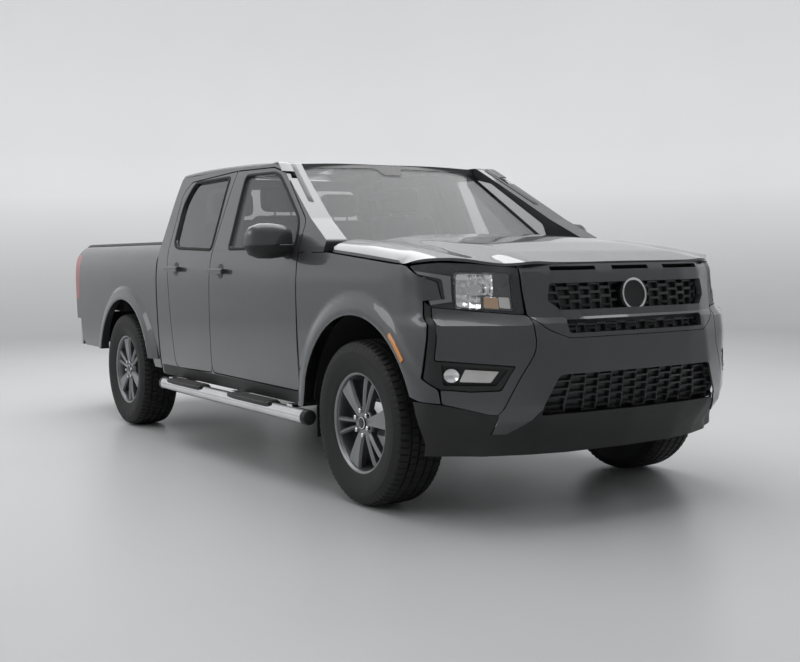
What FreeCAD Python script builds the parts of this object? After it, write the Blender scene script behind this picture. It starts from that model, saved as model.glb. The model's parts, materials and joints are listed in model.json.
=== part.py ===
import FreeCAD, Part

import math
import os

from FreeCAD import Vector

# Pickup truck with a four-door cab. Millimetres, +X forward, +Y to the truck's left, +Z up.
# The origin lies on the ground, under the middle of the truck's length.

# Overall size
WHEELBASE = 3200.0
FRONT_OVERHANG = 910.0
REAR_OVERHANG = 1230.0
TRACK = 1570.0
FRONT_AXLE_X = (WHEELBASE + REAR_OVERHANG - FRONT_OVERHANG) / 2.0
REAR_AXLE_X = FRONT_AXLE_X - WHEELBASE

# Gaps and clearances
SEAT_GAP = 0.3
SHUT_GAP = 7.0
SHELF_Z = 1045.0
PIN_CLEARANCE = 0.08

# Wheels
TYRE_RADIUS = 385.0
TYRE_WIDTH = 262.0
RIM_FLANGE_RADIUS = 234.0
RIM_SEAT_RADIUS = 216.0
RIM_WALL = 9.0
RIM_LIP = 9.0
RIM_WIDTH = 216.0
HUB_RADIUS = 78.0
SPINDLE_RADIUS = 30.0
BRAKE_DISC_RADIUS = 150.0
SCRUB_RADIUS = 70.0
HUB_Z = TYRE_RADIUS
WHEEL_Y = TRACK / 2.0
KINGPIN_Y = WHEEL_Y - SCRUB_RADIUS

# Wheel arches
ARCH_RADIUS = 500.0
FLARE_WIDTH = 112.0
FLARE_BULGE = 20.0
ARCH_LINER_RADIUS = 516.0
ARCH_LINER_WALL = 6.0
APRON_WALL = 11.0
REAR_ARCH_SHIFT_X = 10.0
REAR_ARCH_Z = 372.0
LINER_OUTER_Y = 850.0
LINER_FOOT_Z = 445.0

# Body side, as height and half width, from the sill up to the roof rail
SIDE_LOWER = [(380.0, 862.0), (480.0, 882.0), (620.0, 894.0), (780.0, 901.0), (940.0, 904.0),
              (1040.0, 903.0), (1120.0, 895.0), (1200.0, 878.0)]
SIDE_UPPER = [(1200.0, 878.0), (1300.0, 843.0), (1440.0, 795.0), (1580.0, 745.0), (1720.0, 683.0)]
BED_SHOULDER = [(1100.0, 898.0), (1150.0, 888.0), (1190.0, 866.0), (1228.0, 826.0), (1254.0, 776.0)]
SKIN = 22.0
DOOR_THICKNESS = 96.0
DOOR_FRAME_THICKNESS = 48.0
JAMB_DEPTH = 76.0
CAB_SIDE_DEPTH = 116.0

# Cab and door stations along the side
FENDER_REAR_X = FRONT_AXLE_X - 588.0
DOOR_SPLIT_X = FRONT_AXLE_X - 1700.0
REAR_DOOR_END_X = FRONT_AXLE_X - 2350.0
CAB_REAR_X = FRONT_AXLE_X - 2552.0
CAB_BED_GAP = 18.0
SILL_BOTTOM_Z = 412.0
DOOR_BOTTOM_Z = 478.0
SILL_TOP_Z = 560.0
BELT_Z = 1200.0
WINDOW_LOW_Z = 1186.0
WINDOW_REAR_LOW_Z = 1208.0
ROOF_EDGE_Z = 1668.0
DOOR_TOP_Z = ROOF_EDGE_Z - 16.0
WINDOW_TOP_Z = DOOR_TOP_Z - 40.0
DOOR_INSET = 42.0
DOOR_INNER_CLEARANCE = 12.0
GLASS_DEPTH = 12.0
GLASS_THICKNESS = 5.0

# Door hinges
HINGE_SET_BACK = 55.0
HINGE_DEPTH = 6.0
HINGE_PIN_RADIUS = 4.0
HINGE_HEIGHTS = (660.0, 1050.0)
HINGE_POST = 78.0

# Roof and screens
ROOF_CROWN_Z = ROOF_EDGE_Z + 60.0
ROOF_THICKNESS = 32.0
SCREEN_TOP_X = FRONT_AXLE_X - 1200.0
SCREEN_TOP_Z = ROOF_EDGE_Z + 10.0
SCREEN_FOOT_X = FRONT_AXLE_X - 500.0
SCREEN_FOOT_Z = 1190.0
SCREEN_THICKNESS = 6.0

# Hood
BULKHEAD_X = FRONT_AXLE_X - 470.0
HOOD_REAR_X = FRONT_AXLE_X - 250.0
HOOD_FRONT_X = FRONT_AXLE_X + 850.0
HOOD_THICKNESS = 24.0

# Load bed
BED_FRONT_X = CAB_REAR_X - CAB_BED_GAP
BED_REAR_X = REAR_AXLE_X - 1110.0
BED_FLOOR_Z = 790.0
BED_TOP_Z = 1254.0
BED_INNER_Y = 740.0
BED_WALL = 34.0
BED_HOLES_X = REAR_AXLE_X - 220.0
BED_HOLE_SPACING_X = 1300.0
BED_HOLE_SPACING_Y = 864.0
BED_HOLE_RADIUS = 5.5
TAILGATE_THICKNESS = 62.0
TAILGATE_HALF_WIDTH = 700.0
TAILGATE_BOTTOM_Z = 752.0
TAILGATE_HINGE_X = BED_REAR_X + 32.0
TAILGATE_HINGE_Z = TAILGATE_BOTTOM_Z + 10.0
TAILGATE_PIN_RADIUS = 7.0

# Chassis frame
RAIL_OUTER_Y = 430.0
RAIL_WIDTH = 78.0
RAIL_HEIGHT = 118.0
RAIL_TOP_Z = 520.0
RAIL_KICK = 110.0
RAIL_REAR_X = BED_REAR_X + 60.0
MIDDLE_MEMBER_Z = 498.0
FRONT_BEAM_X = FRONT_AXLE_X + 745.0


def box(x0, x1, y0, y1, z0, z1):
    return Part.makeBox(x1 - x0, y1 - y0, z1 - z0, Vector(x0, y0, z0))


def cylinder(radius, start, direction, length):
    return Part.makeCylinder(radius, length, Vector(*start), Vector(*direction))


def mirrored(shape):
    return shape.mirror(Vector(0, 0, 0), Vector(0, 1, 0))


def fused(shapes):
    return shapes[0].multiFuse(shapes[1:]).removeSplitter()


def pair(shape):
    return Part.makeCompound([shape, mirrored(shape)])


def save(name, shape):
    shape.exportStep("parts/" + name + ".step")


def rod(radius, start, end):
    """Round bar between two points."""
    a = Vector(*start)
    b = Vector(*end)
    return Part.makeCylinder(radius, (b - a).Length, a, b - a)


def main_solid(shape):
    """The largest solid of a shape that a cut has split."""
    return max(shape.Solids, key=lambda solid: solid.Volume)


def unit(du, dv):
    length = math.hypot(du, dv)
    return du / length, dv / length


def rounded_outline(corners, place):
    """Closed wire through corners (u, v, radius), set in space by place(u, v)."""
    stops = []
    count = len(corners)
    for i in range(count):
        u, v, radius = corners[i]
        last = corners[i - 1]
        following = corners[(i + 1) % count]
        if radius <= 0.0:
            stops.append([(u, v)])
            continue
        au, av = unit(last[0] - u, last[1] - v)
        bu, bv = unit(following[0] - u, following[1] - v)
        half = math.acos(max(-1.0, min(1.0, au * bu + av * bv))) / 2.0
        cut = radius / math.tan(half)
        mu, mv = unit(au + bu, av + bv)
        reach = radius / math.sin(half) - radius
        stops.append([(u + au * cut, v + av * cut), (u + mu * reach, v + mv * reach), (u + bu * cut, v + bv * cut)])
    edges = []
    for i in range(count):
        stop = stops[i]
        following = stops[(i + 1) % count]
        if len(stop) == 3:
            edges.append(Part.Arc(place(*stop[0]), place(*stop[1]), place(*stop[2])).toShape())
        start = place(*stop[-1])
        end = place(*following[0])
        if start.distanceToPoint(end) > 0.001:
            edges.append(Part.LineSegment(start, end).toShape())
    return Part.Wire(edges)


def side_prism(corners, y0, y1):
    """Solid across the truck with a side view of corners (x, z, radius)."""
    wire = rounded_outline(corners, lambda x, z: Vector(x, y0, z))
    return Part.Face(wire).extrude(Vector(0, y1 - y0, 0))


def front_prism(corners, x0, x1):
    """Solid along the truck with a front view of corners (y, z, radius)."""
    wire = rounded_outline(corners, lambda y, z: Vector(x0, y, z))
    return Part.Face(wire).extrude(Vector(x1 - x0, 0, 0))


def plan_prism(corners, z0, z1):
    """Upright solid with a plan view of corners (x, y, radius)."""
    wire = rounded_outline(corners, lambda x, y: Vector(x, y, z0))
    return Part.Face(wire).extrude(Vector(0, 0, z1 - z0))


def inset(corners, depth):
    """The same outline with every side moved inward by depth."""
    area = 0.0
    count = len(corners)
    for i in range(count):
        u0, v0 = corners[i][:2]
        u1, v1 = corners[(i + 1) % count][:2]
        area += u0 * v1 - u1 * v0
    turn = 1.0 if area > 0.0 else -1.0
    moved = []
    for i in range(count):
        u, v, radius = corners[i]
        last = corners[i - 1]
        following = corners[(i + 1) % count]
        au, av = unit(u - last[0], v - last[1])
        bu, bv = unit(following[0] - u, following[1] - v)
        nu, nv = -av * turn, au * turn
        mu, mv = -bv * turn, bu * turn
        scale = depth / (1.0 + nu * mu + nv * mv)
        moved.append((u + (nu + mu) * scale, v + (nv + mv) * scale, max(radius - depth, 4.0) if radius > 0.0 else 0.0))
    return moved


def spline(points):
    curve = Part.BSplineCurve()
    curve.interpolate(points)
    return curve.toShape()


def half_width(z):
    """Half width of the body side at a height."""
    sides = SIDE_LOWER + SIDE_UPPER[1:]
    if z <= sides[0][0]:
        return sides[0][1]
    for (z0, w0), (z1, w1) in zip(sides, sides[1:]):
        if z <= z1:
            return w0 + (w1 - w0) * (z - z0) / (z1 - z0)
    return sides[-1][1]


def side_band(curves, x0, x1, outer, inner):
    """Right-hand wall along the truck between two depths below the outer skin."""
    out_edges = []
    in_edges = []
    for curve in curves:
        out_edges.append(spline([Vector(x0, -(w - outer), z) for z, w in curve]))
        in_edges.append(spline([Vector(x0, -(w - inner), z) for z, w in curve]))
    z0, w0 = curves[0][0]
    z1, w1 = curves[-1][-1]
    foot = Part.LineSegment(Vector(x0, -(w0 - outer), z0), Vector(x0, -(w0 - inner), z0)).toShape()
    head = Part.LineSegment(Vector(x0, -(w1 - outer), z1), Vector(x0, -(w1 - inner), z1)).toShape()
    wire = Part.Wire(Part.__sortEdges__(out_edges + in_edges + [foot, head]))
    return Part.Face(wire).extrude(Vector(x1 - x0, 0, 0))


def cab_panel(corners, outer, inner):
    """Right-hand panel of the cab side, cut to a side view."""
    xs = [corner[0] for corner in corners]
    band = side_band([SIDE_LOWER, SIDE_UPPER], min(xs) - 10.0, max(xs) + 10.0, outer, inner)
    return band.common(side_prism(corners, -1300.0, 0.0))


# Side views of the cab: x, z and corner radius
FRONT_DOOR = [
    (FENDER_REAR_X - SHUT_GAP - 14.0, DOOR_BOTTOM_Z, 40.0),
    (FENDER_REAR_X - SHUT_GAP, 1060.0, 60.0),
    (FENDER_REAR_X - SHUT_GAP - 12.0, 1335.0, 60.0),
    (FRONT_AXLE_X - 1000.0, DOOR_TOP_Z - 52.0, 90.0),
    (FRONT_AXLE_X - 1180.0, DOOR_TOP_Z - 12.0, 120.0),
    (DOOR_SPLIT_X + SHUT_GAP / 2.0 + 30.0, DOOR_TOP_Z, 12.0),
    (DOOR_SPLIT_X + SHUT_GAP / 2.0 + 14.0, BELT_Z, 80.0),
    (DOOR_SPLIT_X + SHUT_GAP / 2.0 - 20.0, DOOR_BOTTOM_Z + 6.0, 40.0),
]
REAR_DOOR = [
    (DOOR_SPLIT_X - SHUT_GAP / 2.0 - 20.0, DOOR_BOTTOM_Z + 6.0, 40.0),
    (DOOR_SPLIT_X - SHUT_GAP / 2.0 + 14.0, BELT_Z, 80.0),
    (DOOR_SPLIT_X - SHUT_GAP / 2.0 + 30.0, DOOR_TOP_Z, 12.0),
    (FRONT_AXLE_X - 2340.0, DOOR_TOP_Z - 26.0, 70.0),
    (FRONT_AXLE_X - 2425.0, DOOR_TOP_Z - 92.0, 60.0),
    (FRONT_AXLE_X - 2395.0, 1230.0, 60.0),
    (REAR_DOOR_END_X, 1000.0, 80.0),
    (REAR_DOOR_END_X + 56.0, DOOR_BOTTOM_Z - 6.0, 60.0),
]
FRONT_WINDOW = [
    (FRONT_AXLE_X - 650.0, WINDOW_LOW_Z, 24.0),
    (FRONT_AXLE_X - 676.0, 1330.0, 80.0),
    (FRONT_AXLE_X - 960.0, WINDOW_TOP_Z - 92.0, 90.0),
    (FRONT_AXLE_X - 1105.0, WINDOW_TOP_Z - 8.0, 70.0),
    (FRONT_AXLE_X - 1512.0, WINDOW_TOP_Z, 24.0),
    (FRONT_AXLE_X - 1456.0, WINDOW_REAR_LOW_Z, 16.0),
    (FRONT_AXLE_X - 1190.0, WINDOW_REAR_LOW_Z, 12.0),
    (FRONT_AXLE_X - 1130.0, WINDOW_LOW_Z, 12.0),
]
REAR_WINDOW = [
    (FRONT_AXLE_X - 1722.0, WINDOW_REAR_LOW_Z, 20.0),
    (FRONT_AXLE_X - 1758.0, WINDOW_TOP_Z + 4.0, 20.0),
    (FRONT_AXLE_X - 2272.0, WINDOW_TOP_Z, 40.0),
    (FRONT_AXLE_X - 2352.0, WINDOW_TOP_Z - 120.0, 60.0),
    (FRONT_AXLE_X - 2318.0, WINDOW_REAR_LOW_Z + 38.0, 40.0),
    (FRONT_AXLE_X - 2240.0, WINDOW_REAR_LOW_Z + 14.0, 40.0),
]
CAB_SIDE = [
    (FENDER_REAR_X, SILL_BOTTOM_Z, 6.0),
    (FENDER_REAR_X, 1176.0, 0.0),
    (FRONT_AXLE_X - 330.0, 1176.0, 6.0),
    (FRONT_AXLE_X - 330.0, 1232.0, 20.0),
    (FRONT_AXLE_X - 560.0, 1345.0, 160.0),
    (FRONT_AXLE_X - 1110.0, ROOF_EDGE_Z, 60.0),
    (CAB_REAR_X + 20.0, ROOF_EDGE_Z, 20.0),
    (CAB_REAR_X, BELT_Z, 60.0),
    (CAB_REAR_X, SILL_BOTTOM_Z, 6.0),
]


# Rear view of the back window: y, z and corner radius
BACK_WINDOW = [
    (-600.0, BELT_Z + 62.0, 50.0),
    (-560.0, ROOF_EDGE_Z - 68.0, 50.0),
    (560.0, ROOF_EDGE_Z - 68.0, 50.0),
    (600.0, BELT_Z + 62.0, 50.0),
]


def above_sill():
    """Everything above the door's inner clearance over the sill."""
    return box(-5000.0, 5000.0, -1300.0, 1300.0, SILL_TOP_Z + DOOR_INNER_CLEARANCE, 2000.0)


def door_front_x(corners):
    """Foremost station of a door's lower front edge."""
    return max(corner[0] for corner in corners if corner[1] <= BELT_Z)


def behind(x):
    """Everything behind a station."""
    return box(-5000.0, x, -1300.0, 1300.0, 0.0, 2000.0)


def hinge_axis(corners):
    """Station and right-hand side place of a door's hinge line."""
    return door_front_x(corners) - HINGE_SET_BACK, -(half_width(HINGE_HEIGHTS[0]) - HINGE_DEPTH)


def hinge_arms(corners):
    """Hinge arms on the pillar, each with the pin that the door turns on."""
    x, y = hinge_axis(corners)
    arms = []
    for z in HINGE_HEIGHTS:
        root = -(half_width(z) - JAMB_DEPTH) + 4.0
        arms.append(box(x - HINGE_PIN_RADIUS, x + HINGE_PIN_RADIUS, y, root, z - 12.0, z + 12.0))
        arms.append(cylinder(HINGE_PIN_RADIUS, (x, y, z - 26.0), (0, 0, 1), 52.0))
    return arms


def hinge_pockets(corners):
    """Room in the door for the arms through its whole swing, and bores for the pins."""
    x, y = hinge_axis(corners)
    front = door_front_x(corners)
    pockets = []
    for z in HINGE_HEIGHTS:
        skin_y = -(half_width(z) - 2.0)
        pockets.append(box(x - 10.0, front + 5.0, skin_y, -500.0, z - 18.0, z + 18.0))
        pockets.append(cylinder(HINGE_PIN_RADIUS + PIN_CLEARANCE, (x, y, z - 28.0), (0, 0, 1), 56.0))
    return Part.makeCompound(pockets)


def cab_body(roof):
    """Cab sides with pillars, sills and roof rails, tied by the rear wall."""
    side = cab_panel(CAB_SIDE, 0.0, CAB_SIDE_DEPTH)
    arms = []
    for door in (FRONT_DOOR, REAR_DOOR):
        rebate = cab_panel(inset(door, -SHUT_GAP), -60.0, JAMB_DEPTH)
        opening = side_prism(inset(door, DOOR_INSET - DOOR_INNER_CLEARANCE), -1300.0, 0.0)
        opening = opening.common(box(-5000.0, 5000.0, -1300.0, 0.0, SILL_TOP_Z, 2000.0))
        low = opening.common(box(-5000.0, 5000.0, -1300.0, 0.0, 0.0, BELT_Z))
        opening = opening.cut(low).fuse(low.common(behind(door_front_x(door) - HINGE_POST)))
        side = side.cut(rebate).cut(opening)
        arms += hinge_arms(door)
    side = side.cut(box(FENDER_REAR_X - 8.0, 5000.0, -1300.0, 0.0, 0.0, 1176.0))
    side = fused([side] + arms)
    wall_y = half_width(BELT_Z) - CAB_SIDE_DEPTH + 20.0
    wall = front_prism([(-wall_y, SILL_BOTTOM_Z + 140.0, 0.0), (-wall_y, BELT_Z, 0.0), (-620.0, ROOF_EDGE_Z, 0.0),
                        (620.0, ROOF_EDGE_Z, 0.0), (wall_y, BELT_Z, 0.0), (wall_y, SILL_BOTTOM_Z + 140.0, 0.0)],
                       CAB_REAR_X + 24.0, CAB_REAR_X + 64.0)
    window = front_prism(BACK_WINDOW, CAB_REAR_X - 100.0, CAB_REAR_X + 200.0)
    return fused([side, mirrored(side), wall.cut(window)]).cut(roof)


def cab_floor():
    """Floor pan with its tunnel, toe board and bulkhead."""
    front_x = BULKHEAD_X
    rear_x = CAB_REAR_X + 64.0 + SEAT_GAP
    pan_z = SILL_TOP_Z - 22.0
    edge = half_width(pan_z) - CAB_SIDE_DEPTH - 2.0 * SEAT_GAP
    pan = box(rear_x, front_x, -edge, edge, pan_z, SILL_TOP_Z - 4.0)
    tops = [(rear_x, SILL_TOP_Z + 30.0, 0.0), (front_x - 500.0, SILL_TOP_Z + 70.0, 80.0), (front_x, SILL_TOP_Z + 200.0, 0.0)]
    tunnel = side_prism([(rear_x, pan_z, 0.0)] + tops + [(front_x, pan_z, 0.0)], -170.0, 170.0)
    hollow_tops = [(x, z - 16.0, r) for x, z, r in tops]
    hollow = side_prism([(rear_x - 1.0, pan_z - 9.0, 0.0)] + hollow_tops + [(front_x + 1.0, pan_z - 9.0, 0.0)], -154.0, 154.0)
    wall_edge = edge - 8.0
    bulkhead = box(front_x - 20.0, front_x, -wall_edge, wall_edge, pan_z, SCREEN_FOOT_Z - 12.0 - 2.0 * SEAT_GAP)
    return fused([pan, tunnel, bulkhead]).cut(hollow).cut(liner_tool())


def door(corners, window):
    """Right-hand door: outer skin, inner box and window frame, with its window cut."""
    skin = cab_panel(corners, 0.0, SKIN)
    frame = cab_panel(inset(corners, DOOR_INSET), SKIN - 2.0, DOOR_FRAME_THICKNESS)
    frame = frame.common(above_sill())
    inner = cab_panel(inset(corners, DOOR_INSET), DOOR_FRAME_THICKNESS - 2.0, DOOR_THICKNESS)
    inner = inner.common(box(-5000.0, 5000.0, -1300.0, 0.0, SILL_TOP_Z + DOOR_INNER_CLEARANCE, WINDOW_LOW_Z - 24.0))
    inner = inner.common(behind(door_front_x(corners) - HINGE_POST - DOOR_INNER_CLEARANCE))
    low_frame = frame.common(box(-5000.0, 5000.0, -1300.0, 0.0, 0.0, BELT_Z))
    frame = frame.cut(low_frame).fuse(low_frame.common(behind(door_front_x(corners) - HINGE_POST - DOOR_INNER_CLEARANCE)))
    whole = fused([skin, frame, inner])
    return whole.cut(side_prism(window, -1300.0, 0.0)).cut(hinge_pockets(corners))


def door_handle(x, z):
    """Pull handle standing off the door skin on its two feet."""
    y = -half_width(z)
    bar = box(x - 105.0, x + 105.0, y - 38.0, y - 20.0, z - 15.0, z + 15.0)
    bar = bar.makeFillet(7.0, bar.Edges)
    feet = [box(x + shift - 16.0, x + shift + 16.0, y - 24.0, y + 10.0, z - 12.0, z + 12.0) for shift in (-82.0, 82.0)]
    return fused([bar] + feet)


def window_glass(window):
    return cab_panel(inset(window, SEAT_GAP), GLASS_DEPTH, GLASS_DEPTH + GLASS_THICKNESS)


def mirror(front_door):
    """Right-hand door mirror: shell on an arm from the top front corner of the door."""
    x = FRONT_AXLE_X - 700.0
    shell = side_prism([(x - 60.0, 1206.0, 40.0), (x - 70.0, 1352.0, 40.0), (x + 62.0, 1352.0, 60.0), (x + 52.0, 1206.0, 50.0)],
                       -1085.0, -905.0)
    plan = [(x - 66.0, -905.0, 10.0), (x - 66.0, -1085.0, 20.0), (x + 20.0, -1085.0, 60.0), (x + 66.0, -905.0, 40.0)]
    shell = shell.common(plan_prism(plan, 1100.0, 1500.0))
    foot_z = WINDOW_LOW_Z - 8.0
    arm = front_prism([(-860.0, foot_z - 46.0, 0.0), (-860.0, foot_z, 0.0), (-930.0, foot_z + 60.0, 20.0), (-1000.0, foot_z + 60.0, 0.0),
                       (-1000.0, foot_z + 24.0, 0.0), (-920.0, foot_z - 30.0, 20.0)], x - 18.0, x + 34.0)
    return main_solid(fused([shell, arm]).cut(front_door))


def lofted_shell(stations, thickness):
    """Shell across the truck through sections (x, [(y, z) ...]), thickened inward."""
    wires = []
    for x, points in stations:
        edge_y = points[-1][0]
        inner = []
        for y, z in points:
            flat = min(1.0, (edge_y - abs(y)) / (2.0 * thickness))
            inner.append((y * (edge_y - thickness) / edge_y, z - thickness * flat))
        outer_edge = spline([Vector(x, y, z) for y, z in points])
        inner_edge = spline([Vector(x, y, z) for y, z in inner])
        start = Part.LineSegment(Vector(x, *points[0]), Vector(x, *inner[0])).toShape()
        end = Part.LineSegment(Vector(x, *points[-1]), Vector(x, *inner[-1])).toShape()
        wires.append(Part.Wire([outer_edge, end, inner_edge, start]))
    return Part.makeLoft(wires, True, False)


def roof_centre(x):
    """Height of the roof on the centre line."""
    front = SCREEN_TOP_X
    t = (front - x) / (front - CAB_REAR_X)
    return SCREEN_TOP_Z + (ROOF_CROWN_Z - SCREEN_TOP_Z) * math.sin(math.pi * min(t * 1.25, 1.0) / 2.0) - 26.0 * max(t - 0.6, 0.0) / 0.4


def roof_section(x):
    centre = roof_centre(x)
    low = ROOF_EDGE_Z - 30.0 * max(0.0, 1.0 - (SCREEN_TOP_X + 60.0 - x) / 240.0)
    edge = half_width(low)
    rise = centre - low
    half = [(edge, low), (edge - 10.0, low + 0.36 * rise), (edge - 50.0, low + 0.60 * rise), (edge * 0.6, low + 0.88 * rise)]
    return [(-y, z) for y, z in half] + [(0.0, centre)] + [(y, z) for y, z in reversed(half)]


def roof_panel():
    xs = [SCREEN_TOP_X + 60.0, FRONT_AXLE_X - 1400.0, FRONT_AXLE_X - 1700.0, FRONT_AXLE_X - 2100.0, CAB_REAR_X + 22.0]
    shell = lofted_shell([(x, roof_section(x)) for x in xs], ROOF_THICKNESS)
    front = [(SCREEN_TOP_X - 4.0, 0.0), (SCREEN_TOP_X + 10.0, 400.0), (SCREEN_TOP_X + 26.0, 560.0), (SCREEN_TOP_X + 60.0, 720.0)]
    plan = [(CAB_REAR_X - 40.0, -800.0, 0.0), (CAB_REAR_X - 40.0, 800.0, 0.0)]
    plan += [(x, y, 0.0) for x, y in reversed(front)]
    plan += [(x, -y, 0.0) for x, y in front[1:]]
    return shell.common(plan_prism(plan, ROOF_EDGE_Z - 200.0, ROOF_CROWN_Z + 200.0))


def windscreen(neighbours):
    """Bowed windscreen between the pillars, roof edge and cowl."""
    rows = [(0.0, 742.0), (0.5, 668.0), (1.0, 590.0)]
    wires = []
    run = SCREEN_TOP_X - SCREEN_FOOT_X
    rise = SCREEN_TOP_Z - SCREEN_FOOT_Z
    tx, tz = unit(run, rise)
    for t, edge in rows:
        x = SCREEN_FOOT_X + run * t
        z = SCREEN_FOOT_Z + rise * t
        bow = 66.0 - 30.0 * t
        outer = [Vector(x - bow * s * s, s * edge, z) for s in (-1.0, -0.5, 0.0, 0.5, 1.0)]
        inner = [Vector(p.x - SCREEN_THICKNESS / tz, p.y, p.z) for p in outer]
        edges = [spline(outer), Part.LineSegment(outer[-1], inner[-1]).toShape(), spline(inner),
                 Part.LineSegment(outer[0], inner[0]).toShape()]
        wires.append(Part.Wire(edges))
    glass = Part.makeLoft(wires, True, False)
    return main_solid(glass.cut(neighbours))


def rear_glass():
    return front_prism(inset(BACK_WINDOW, SEAT_GAP), CAB_REAR_X + 30.0, CAB_REAR_X + 35.0)


HOOD_LINE = [(-300.0, 1262.0), (0.0, 1240.0), (300.0, 1207.0), (600.0, 1162.0), (860.0, 1108.0)]


def hood_centre(forward):
    """Height of the hood's centre line at a distance forward of the front axle."""
    for (x0, z0), (x1, z1) in zip(HOOD_LINE, HOOD_LINE[1:]):
        if forward <= x1:
            return z0 + (z1 - z0) * (forward - x0) / (x1 - x0)
    return HOOD_LINE[-1][1]


def hood_section(forward):
    """Half section of the hood as (y, z), from its side edge to the centre."""
    centre = hood_centre(forward)
    shoulder_z = centre - 50.0
    edge_z = min(hood_side_line(forward) + SHUT_GAP, shoulder_z - 28.0)
    half = [(884.0, edge_z), (881.0, edge_z + 0.55 * (shoulder_z - edge_z)), (862.0, shoulder_z), (818.0, centre - 34.0),
            (640.0, centre - 17.0), (470.0, centre - 10.0), (240.0, centre - 2.0)]
    return [(-y, z) for y, z in half] + [(0.0, centre)] + [(y, z) for y, z in reversed(half)]


def hood_plan(gap):
    """Plan view of the hood, moved outward by a gap."""
    corners = [(HOOD_REAR_X - gap, 0.0, 900.0), (HOOD_REAR_X + 10.0 - gap, 930.0, 0.0), (FRONT_AXLE_X + 470.0 + gap, 930.0, 30.0),
               (FRONT_AXLE_X + 560.0 + gap, 850.0, 60.0), (FRONT_AXLE_X + 745.0 + gap, 640.0, 60.0), (HOOD_FRONT_X - 18.0 + gap, 560.0, 60.0),
               (HOOD_FRONT_X + gap, 0.0, 0.0)]
    left = [(x, y, r) for x, y, r in corners[1:-1]]
    right = [(x, -y, r) for x, y, r in reversed(left)]
    return [(HOOD_REAR_X - gap, 0.0, 0.0)] + left + [(HOOD_FRONT_X + gap, 0.0, 0.0)] + right


def hood_shape(gap):
    """Hood panel, or the room it needs when a gap is given."""
    stations = [(FRONT_AXLE_X + f, hood_section(f)) for f in (-290.0, 0.0, 300.0, 600.0, 870.0)]
    shell = lofted_shell(stations, HOOD_THICKNESS + gap)
    return shell.common(plan_prism(hood_plan(gap), 900.0, 1400.0))


HOOD_HINGE_X = HOOD_REAR_X - 40.0
HOOD_HINGE_Z = SCREEN_FOOT_Z - 5.0
HOOD_HINGE_Y = 640.0
HOOD_PIN_RADIUS = 6.0
HOOD_EYE_RADIUS = 12.0


def hood():
    """Hood panel with its two hinge leaves."""
    panel = hood_shape(0.0)
    x, z, r = HOOD_HINGE_X, HOOD_HINGE_Z, HOOD_EYE_RADIUS
    leaf = side_prism([(x - r, z - r, r - 1.0), (x - r, z + r, r - 1.0), (x + 60.0, z + 48.0, 0.0), (x + 110.0, z + 40.0, 0.0),
                       (x + 60.0, z + 14.0, 10.0), (x + r, z - r, r - 1.0)], -HOOD_HINGE_Y - 6.0, -HOOD_HINGE_Y + 6.0)
    leaf = leaf.cut(cylinder(HOOD_PIN_RADIUS + PIN_CLEARANCE, (x, -HOOD_HINGE_Y - 50.0, z), (0, 1, 0), 100.0))
    return fused([panel, leaf, mirrored(leaf)])


def hood_hinge_mount():
    """Right-hand hood hinge pin on its bracket, standing on the apron shelf."""
    x, z = HOOD_HINGE_X, HOOD_HINGE_Z
    pin = cylinder(HOOD_PIN_RADIUS, (x, -HOOD_HINGE_Y - 14.0, z), (0, 1, 0), 24.0)
    post = box(x - 14.0, x + 14.0, -HOOD_HINGE_Y - 22.0, -HOOD_HINGE_Y - 12.0, SHELF_Z, z + 8.0)
    return fused([pin, post])


def hood_side_line(forward):
    """Height of the shut line between hood and fender."""
    return 1166.0 - 0.088 * (forward + 154.0) - SHUT_GAP


# Nose outline by height: half plan as (forward of the front axle, y)
NOSE = [
    (292.0, [(800.0, 0.0), (786.0, 300.0), (752.0, 500.0), (700.0, 684.0), (600.0, 800.0), (520.0, 866.0), (330.0, 868.0)]),
    (345.0, [(822.0, 0.0), (808.0, 300.0), (772.0, 500.0), (716.0, 690.0), (612.0, 815.0), (530.0, 884.0), (330.0, 886.0)]),
    (500.0, [(890.0, 0.0), (880.0, 300.0), (855.0, 504.0), (772.0, 640.0), (655.0, 860.0), (545.0, 910.0), (330.0, 912.0)]),
    (560.0, [(905.0, 0.0), (900.0, 300.0), (864.0, 500.0), (796.0, 612.0), (674.0, 866.0), (552.0, 915.0), (330.0, 917.0)]),
    (700.0, [(908.0, 0.0), (902.0, 300.0), (868.0, 480.0), (802.0, 608.0), (682.0, 866.0), (560.0, 914.0), (330.0, 917.0)]),
    (841.0, [(902.0, 0.0), (892.0, 300.0), (850.0, 454.0), (800.0, 600.0), (665.0, 850.0), (560.0, 908.0), (330.0, 910.0)]),
    (970.0, [(884.0, 0.0), (876.0, 300.0), (836.0, 500.0), (778.0, 600.0), (640.0, 830.0), (530.0, 903.0), (330.0, 905.0)]),
    (1060.0, [(866.0, 0.0), (860.0, 300.0), (804.0, 537.0), (766.0, 600.0), (640.0, 806.0), (490.0, 896.0), (330.0, 899.0)]),
    (1104.0, [(850.0, 0.0), (844.0, 300.0), (800.0, 540.0), (750.0, 600.0), (620.0, 800.0), (470.0, 890.0), (330.0, 893.0)]),
]
NOSE_DEPTH = 64.0


def nose_wire(z, half):
    """Closed plan outline of the nose shell at one height."""
    outer = list(half)
    inner = [(x - NOSE_DEPTH, max(y - NOSE_DEPTH * y / 700.0, 0.0)) for x, y in half[:-1]]
    inner.append((half[-1][0], half[-1][1] - NOSE_DEPTH))
    right = [(x, -y) for x, y in reversed(outer[1:])]
    right_inner = [(x, -y) for x, y in inner[1:]]
    ring = right + outer + list(reversed(inner)) + right_inner
    points = [Vector(FRONT_AXLE_X + x, y, z) for x, y in ring]
    return Part.makePolygon(points + [points[0]])


def nose_shell():
    wires = [nose_wire(z, half) for z, half in NOSE]
    return Part.makeLoft(wires, True, True)


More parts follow.
